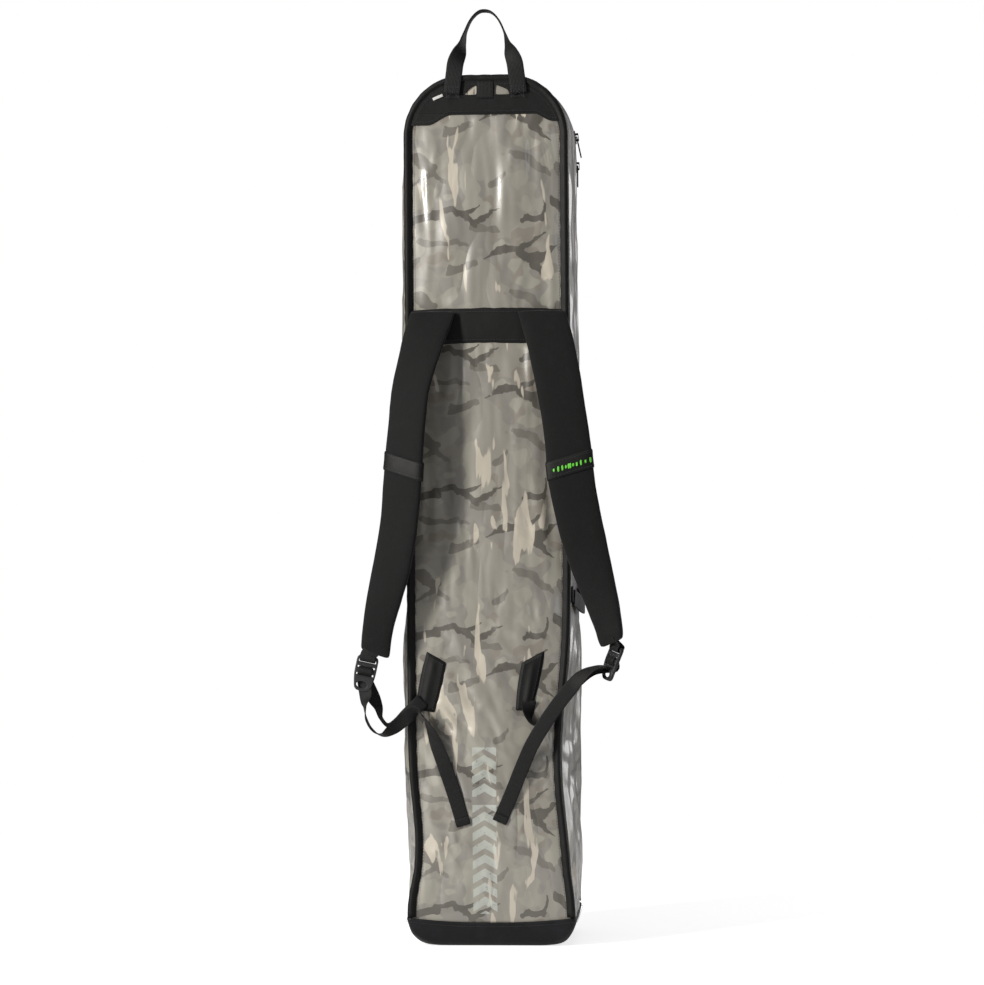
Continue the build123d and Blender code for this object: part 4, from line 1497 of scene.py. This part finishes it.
def main_zip():
    """The two rows of coil and the two tapes that run round the bag between the body and the lid."""
    for owner, body, sign in (("body", "root", -1), ("lid", "lid", 1)):
        coil_low, coil_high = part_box(f"{owner}_zip_coil")
        low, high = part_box(f"{owner}_zip_tape")
        _, x, z, out_x, out_z = arch(high.x - 0.5 * MM, coil_low.z, 1.5 * MM)
        path = grid_of(x, (coil_low.y + coil_high.y) / 2, z)
        across = np.tile((0, 1.0, 0), (len(x), 1))
        axes = np.stack([across, unit(np.gradient(path, axis=0)), grid_of(out_x, 0, out_z)], axis=1)
        coil(f"{owner}_coil", path, axes, 3.5 * MM, body, f"{owner}_zip_coil")
        back, front = (low.y, high.y + 3 * MM) if sign < 0 else (low.y - 3 * MM, high.y)
        band = band_piece(f"{owner}_tape", high.x, back, front, low.z, 0.8 * MM, tape, np.array, 6 * MM)
        place(band, body, "zip_tape", f"{owner}_zip_tape")


def detail_metal():
    """Sliders, pulls and the base board keep their CAD shape, with softened edges."""
    for name in ("lower", "upper", "pocket"):
        soften(f"{name}_slider", enamel, 0.35 * MM)
        soften(f"{name}_slider_pull", rubber, 0.35 * MM)
    soften("base_board", board, 0.8 * MM)


def soften(node_name, material, width):
    """Gives a CAD solid a material and bevels its sharp edges."""
    piece = frame["nodes"][node_name]
    piece.data.materials.clear()
    piece.data.materials.append(material)
    bevel = piece.modifiers.new("edges", "BEVEL")
    bevel.width = width
    bevel.segments = 2
    bevel.limit_method = "ANGLE"


# Lid

def lid_cover():
    """The fabric of the lid's face, sewn down round the pocket, and of its narrow side."""
    pocket_low, pocket_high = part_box("pocket_gusset")

    def sewn(x, z):
        edge = np.abs(x) > back_edge(z) - edge_seam
        sides = (np.abs(np.abs(x) - pocket_high.x) < 5 * MM) & (z > pocket_low.z) & (z < pocket_high.z)
        rims = (np.abs(z - pocket_low.z) < 4 * MM) | (np.abs(z - pocket_high.z) < 4 * MM)
        pocket_line = sides | (rims & (np.abs(x) < pocket_high.x))
        return edge | (z < lid_low + 8 * MM) | (z > body_top - 16 * MM) | pocket_line

    piece = fabric_panel("lid_cover", lid_low, lid_face, 1, 7, sewn, camo)
    place(piece, "lid", "camo_fabric", "lid_panel")
    low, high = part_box("lid_side")
    grid, _, _ = side_grid(body_half, low.y, high.y, lid_low, sheet_step, 13, 0.5 * MM)
    band = tailor(add_grid("lid_side_cover", grid, camo, flip=True), cloth_thickness)
    place(band, "lid", "camo_fabric", "lid_side")


def hinge_strip():
    """The fabric that joins the lid's foot to the base, made in one fixed shape, as it lies with the lid
    shut.
    """
    low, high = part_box("lid_hinge_tape")
    boot_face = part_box("base_boot")[1].y
    # Distance outwards from the base's face, and height above its top, in mm
    on_base = ((0.5, -14), (1.0, -8), (1.2, -2), (0.6, 2), (-1.5, 6))
    profile = [(boot_face + out * MM, boot_top + up * MM) for out, up in on_base]
    profile += [(high.y + 0.6 * MM, boot_top + 11 * MM), (high.y + 0.4 * MM, high.z)]
    x = np.linspace(low.x, high.x, 33)
    points = np.array([grid_of(x, y, z) for y, z in profile])
    piece = tailor(add_grid("hinge_strip", points, black, flip=True), 0.9 * MM)
    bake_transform(piece)
    label(piece, "black_fabric", "lid_hinge_tape")


def rounded_grid(half_x, low, high, corner, across, up):
    """A grid whose outer corners follow round corners. across and up run from -1 to 1."""
    half_z = (high - low) / 2
    x = across * half_x
    z = up * half_z
    over_x = np.clip((np.abs(x) - (half_x - corner)) / corner, 0, 1)
    over_z = np.clip((np.abs(z) - (half_z - corner)) / corner, 0, 1)
    both = np.hypot(over_x, over_z)
    shrink = np.where(both > 0, np.maximum(over_x, over_z) / np.maximum(both, 1e-9), 1)
    inside = (over_x > 0) & (over_z > 0)
    x = np.where(inside, np.sign(x) * (half_x - corner + over_x * shrink * corner), x)
    z = np.where(inside, np.sign(z) * (half_z - corner + over_z * shrink * corner), z)
    return x, z + (high + low) / 2


def pocket():
    """The pocket on the lid's face: its front with a slot for the zip, its wall and its zip."""
    low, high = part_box("pocket_panel")
    tape_low, tape_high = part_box("pocket_zip_tape")
    corner = 25 * MM
    height = high.z - low.z
    slot_low, slot_high = ((level - low.z) / height * 2 - 1 for level in (tape_low.z, tape_high.z))
    slot_sides = (tape_low.x / high.x, tape_high.x / high.x)
    across, up = np.meshgrid(np.unique([*np.linspace(-1, 1, 41), *slot_sides]),
                             np.unique([*np.linspace(-1, 1, 97), slot_low, slot_high]))
    x, z = rounded_grid(high.x, low.z, high.z, corner, across, up)
    in_slot = (x > tape_low.x - 0.1 * MM) & (x < tape_high.x + 0.1 * MM)
    in_slot &= (up > slot_low - 1e-6) & (up < slot_high + 1e-6)
    edge = np.minimum(1 - np.abs(across), (1 - np.abs(up)) * 2.2)
    from_slot = np.clip(np.abs(x - (tape_low.x + tape_high.x) / 2) / (30 * MM), 0, 1)
    crown = 5 * MM * rise(edge, 0, 0.5) + folds(x, z, 17) * 1.5 * MM * rise(edge, 0, 0.2)
    crown = crown * (0.15 + 0.85 * rise(from_slot, 0.3, 1))
    slot = in_slot[:-1, :-1] & in_slot[1:, :-1] & in_slot[:-1, 1:] & in_slot[1:, 1:]
    piece = add_grid("pocket_cover", grid_of(x, high.y + crown - 0.2 * MM, z), camo, flip=True, holes=slot)
    reshape(piece, lambda mesh: bmesh.ops.delete(mesh, geom=[v for v in mesh.verts if not v.link_faces]))
    tailor(piece, cloth_thickness)
    place(piece, "lid", "camo_fabric", "pocket_panel")
    pocket_wall(low, high, corner)
    pocket_zip(tape_low, tape_high)


def pocket_rim(half, low, high, corner, count=260):
    """Points and outward directions round the pocket."""
    straight_x = 2 * (half - corner)
    straight_z = (high - low) - 2 * corner
    quarter = corner * math.pi / 2
    sides = ((straight_x, False), (quarter, True), (straight_z, False), (quarter, True))
    points = []
    for place_along in np.linspace(0, 2 * (straight_x + straight_z) + 4 * quarter, count, endpoint=False):
        left = place_along
        x, z, angle = -half + corner, low, -math.pi / 2
        for length, turning in sides * 2:
            part = min(left, length)
            if turning:
                after = angle + part / corner
                x += corner * (math.cos(after) - math.cos(angle))
                z += corner * (math.sin(after) - math.sin(angle))
                angle = after
            else:
                x -= part * math.sin(angle)
                z += part * math.cos(angle)
            left -= part
            if left <= 0:
                break
        points.append((x, z, math.cos(angle), math.sin(angle)))
    return np.array(points)


def pocket_wall(low, high, corner):
    """The fabric round the pocket, and a thin covered cord where it meets the pocket's front."""
    x, z, out_x, out_z = pocket_rim(high.x, low.z, high.z, corner).T
    front = high.y
    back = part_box("pocket_gusset")[0].y

    def ring(out, y):
        return grid_of(x + out_x * out, y, z + out_z * out)

    # Distance outwards in mm, and place between the lid and the pocket's front
    profile = ((0.4, back + 0.4 * MM), (1.0, back + 2 * MM), (0.2, back + 6 * MM),
               (-1.2, (front + back) / 2), (0.0, front - 5 * MM), (0.6, front - 1.5 * MM))
    rings = []
    for out, y in profile:
        ripple = wrinkle(grid_of(x, z, z * 0 + y), (30 * MM, 30 * MM, 10 * MM), 61)
        rings.append(ring(out * MM + ripple * 0.5 * MM, y))
    piece = add_grid("pocket_wall", rings, camo, closed=True)
    fix_normals(piece)
    tailor(piece, cloth_thickness)
    place(piece, "lid", "camo_fabric", "pocket_gusset")
    radius = 1.9 * MM
    rings = [ring(radius * math.cos(a), front - 0.3 * MM + radius * math.sin(a)) for a in round_angles(10)]
    cord = add_grid("pocket_edge_cord", rings, black, closed=True, looped=True)
    fix_normals(cord)
    place(cord, "lid", "black_fabric")


def pocket_zip(tape_low, tape_high):
    """The pocket's upright zip: two rows of coil and two bands of tape."""
    coil_low, coil_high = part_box("pocket_zip_coil")
    middle_x = (coil_low.x + coil_high.x) / 2
    face = tape_high.y
    z = np.linspace(coil_low.z, coil_high.z, int((coil_high.z - coil_low.z) / (1.5 * MM)))
    offset = (coil_high.x - coil_low.x) / 4 + 0.2 * MM
    path = np.vstack([grid_of(middle_x + sign * offset, face - 0.5 * MM, z + sign * 0.37 * MM)
                      for sign in (-1, 1)])
    axes = np.tile(np.array([(1.0, 0, 0), (0, 0, 1.0), (0, 1.0, 0)]), (len(path), 1, 1))
    coil("pocket_coil", path, axes, 3.6 * MM, "lid", "pocket_zip_coil")
    near, far = coil_high.x - middle_x - 2.6 * MM, tape_high.x - middle_x + 4 * MM
    heights = np.linspace(tape_low.z - 2 * MM, tape_high.z + 2 * MM, 60)
    points = []
    faces = []
    for ends in ((-far, -near), (near, far)):
        band = grid_of(middle_x + np.linspace(*ends, 6), face - 0.4 * MM, heights[:, None])
        faces += [tuple(i + len(points) for i in corners) for corners in grid_faces(60, 6, flip=True)]
        points += band.reshape(-1, 3).tolist()
    bands = tailor(add_mesh("pocket_tape", points, faces, tape), 0.8 * MM, finer=False)
    place(bands, "lid", "zip_tape", "pocket_zip_tape")


# Inside

def inner_parts():
    """The padded divider and the two bands that hold the sticks."""
    low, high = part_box("stick_divider")
    y, z = np.meshgrid(np.linspace(low.y + 0.5 * MM, high.y, 25), np.linspace(low.z, high.z, 180))
    share = (y - low.y) / (high.y - low.y)
    corner_drop = 18 * MM * np.clip((share - 0.75) / 0.25, 0, 1) ** 2 * rise(z, high.z - 40 * MM, high.z)
    points = grid_of(folds(y, z, 71) * 1.2 * MM * share + high.x - 0.4 * MM, y, z - corner_drop)
    piece = tailor(add_grid("divider_pad", points, lining), high.x - low.x - 0.8 * MM)
    place(piece, "root", "lining_fabric", "stick_divider")
    for name in ("lower", "upper"):
        low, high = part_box(f"{name}_stick_strap")
        level = (low.z + high.z) / 2
        middle = (low.y + high.y) / 2
        route = []
        for t in np.linspace(0, 1, 9):
            sag = math.sin(math.pi * t)
            point = (low.x + (high.x - low.x) * t, middle + 1.5 * MM * sag, level - 3 * MM * sag)
            route.append((point, (0, 0, 1)))
        strap = webbing(f"{name}_stick_band", route, high.z - low.z, 2 * MM, 5 * MM)
        place(strap, "root", "black_webbing", f"{name}_stick_strap")


# Stage

def add_light(name, location, size, power, colour=(1, 1, 1)):
    """An area lamp that faces the middle of the object."""
    lamp = bpy.data.lights.new(name, "AREA")
    lamp.shape = "RECTANGLE"
    lamp.size, lamp.size_y = size
    lamp.energy = power
    lamp.color = colour
    holder = link(name, lamp)
    holder.location = location
    facing = Vector((0, 0, body_top / 2)) - Vector(location)
    holder.rotation_euler = facing.to_track_quat("-Z", "Y").to_euler()


def studio():
    """Soft lamps round the object and a pale floor."""
    world = bpy.data.worlds.new("studio")
    scene.world = world
    world.use_nodes = True
    background = world.node_tree.nodes["Background"].inputs
    seen = node(world.node_tree, "LightPath", "Is Camera Ray")
    feed(background["Color"], mixed(seen, (0.1, 0.1, 0.105, 1), (1, 1, 1, 1)))
    background["Strength"].default_value = 1.0
    add_light("key", (-2.3, -2.1, 1.4), (0.42, 1.7), 113, (1, 0.975, 0.94))
    add_light("fill", (1.9, -2.6, 0.9), (0.5, 1.9), 6, (0.95, 0.98, 1))
    add_light("front_side", (2.3, 2.0, 1.0), (1.6, 2.0), 25)
    add_light("above", (0, -0.4, 2.7), (1.8, 1.8), 12)
    around = [(math.cos(a) * 1.5, math.sin(a) * 1.5, 0) for a in round_angles(48)]
    add_mesh("floor", around, [tuple(range(len(around)))], floor_material(), False)


def floor_material():
    surface = Surface("pale_floor", {"Specular IOR Level": 0.1, "Emission Color": (1, 1, 1, 1)})
    seen = node(surface.tree, "LightPath", "Is Camera Ray")
    feed(surface.sockets["Emission Strength"], seen * 0.7)
    where = surface.position()
    pale = mixed(speckle(where, 3.0), (0.9, 0.9, 0.9, 1), (0.94, 0.94, 0.94, 1))
    surface.paint(pale, speckle(where, 20.0), 0.85, 0.95)
    return surface.material


def camera():
    """Stands a little to the right of the back's middle, far off and level, as for a catalogue."""
    azimuth = math.radians(4.1)
    roll = math.radians(-0.41)
    distance = 3.94
    image_width = 984
    view_width = image_width * 1.2 * MM
    aim = Vector((4.4 * MM, back_face, 545 * MM))
    lens = bpy.data.cameras.new("camera")
    lens.sensor_width = 36
    lens.lens = lens.sensor_width * distance / view_width
    holder = link("camera", lens)
    holder.location = aim + Vector((math.sin(azimuth), -math.cos(azimuth), 0)) * distance
    facing = (aim - holder.location).to_track_quat("-Z", "Y").to_matrix()
    holder.rotation_euler = (facing @ Matrix.Rotation(roll, 3, "Z")).to_euler()
    scene.camera = holder


def all_pieces():
    """Everything that stands for the object, in the order in which it is made."""
    back_cover()
    side_cover()
    edge_piping("back_edge_cord", -1, boot_top, "root", "back_piping")
    edge_piping("lid_edge_cord", 1, lid_low, "lid", "lid_piping")
    padding_and_lining()
    base_cup()
    top_patch()
    handle_webbing()
    yoke_band()
    anchor_wings()
    harness()
    side_grip()
    main_zip()
    detail_metal()
    lid_cover()
    hinge_strip()
    pocket()
    inner_parts()


all_pieces()
studio()
camera()
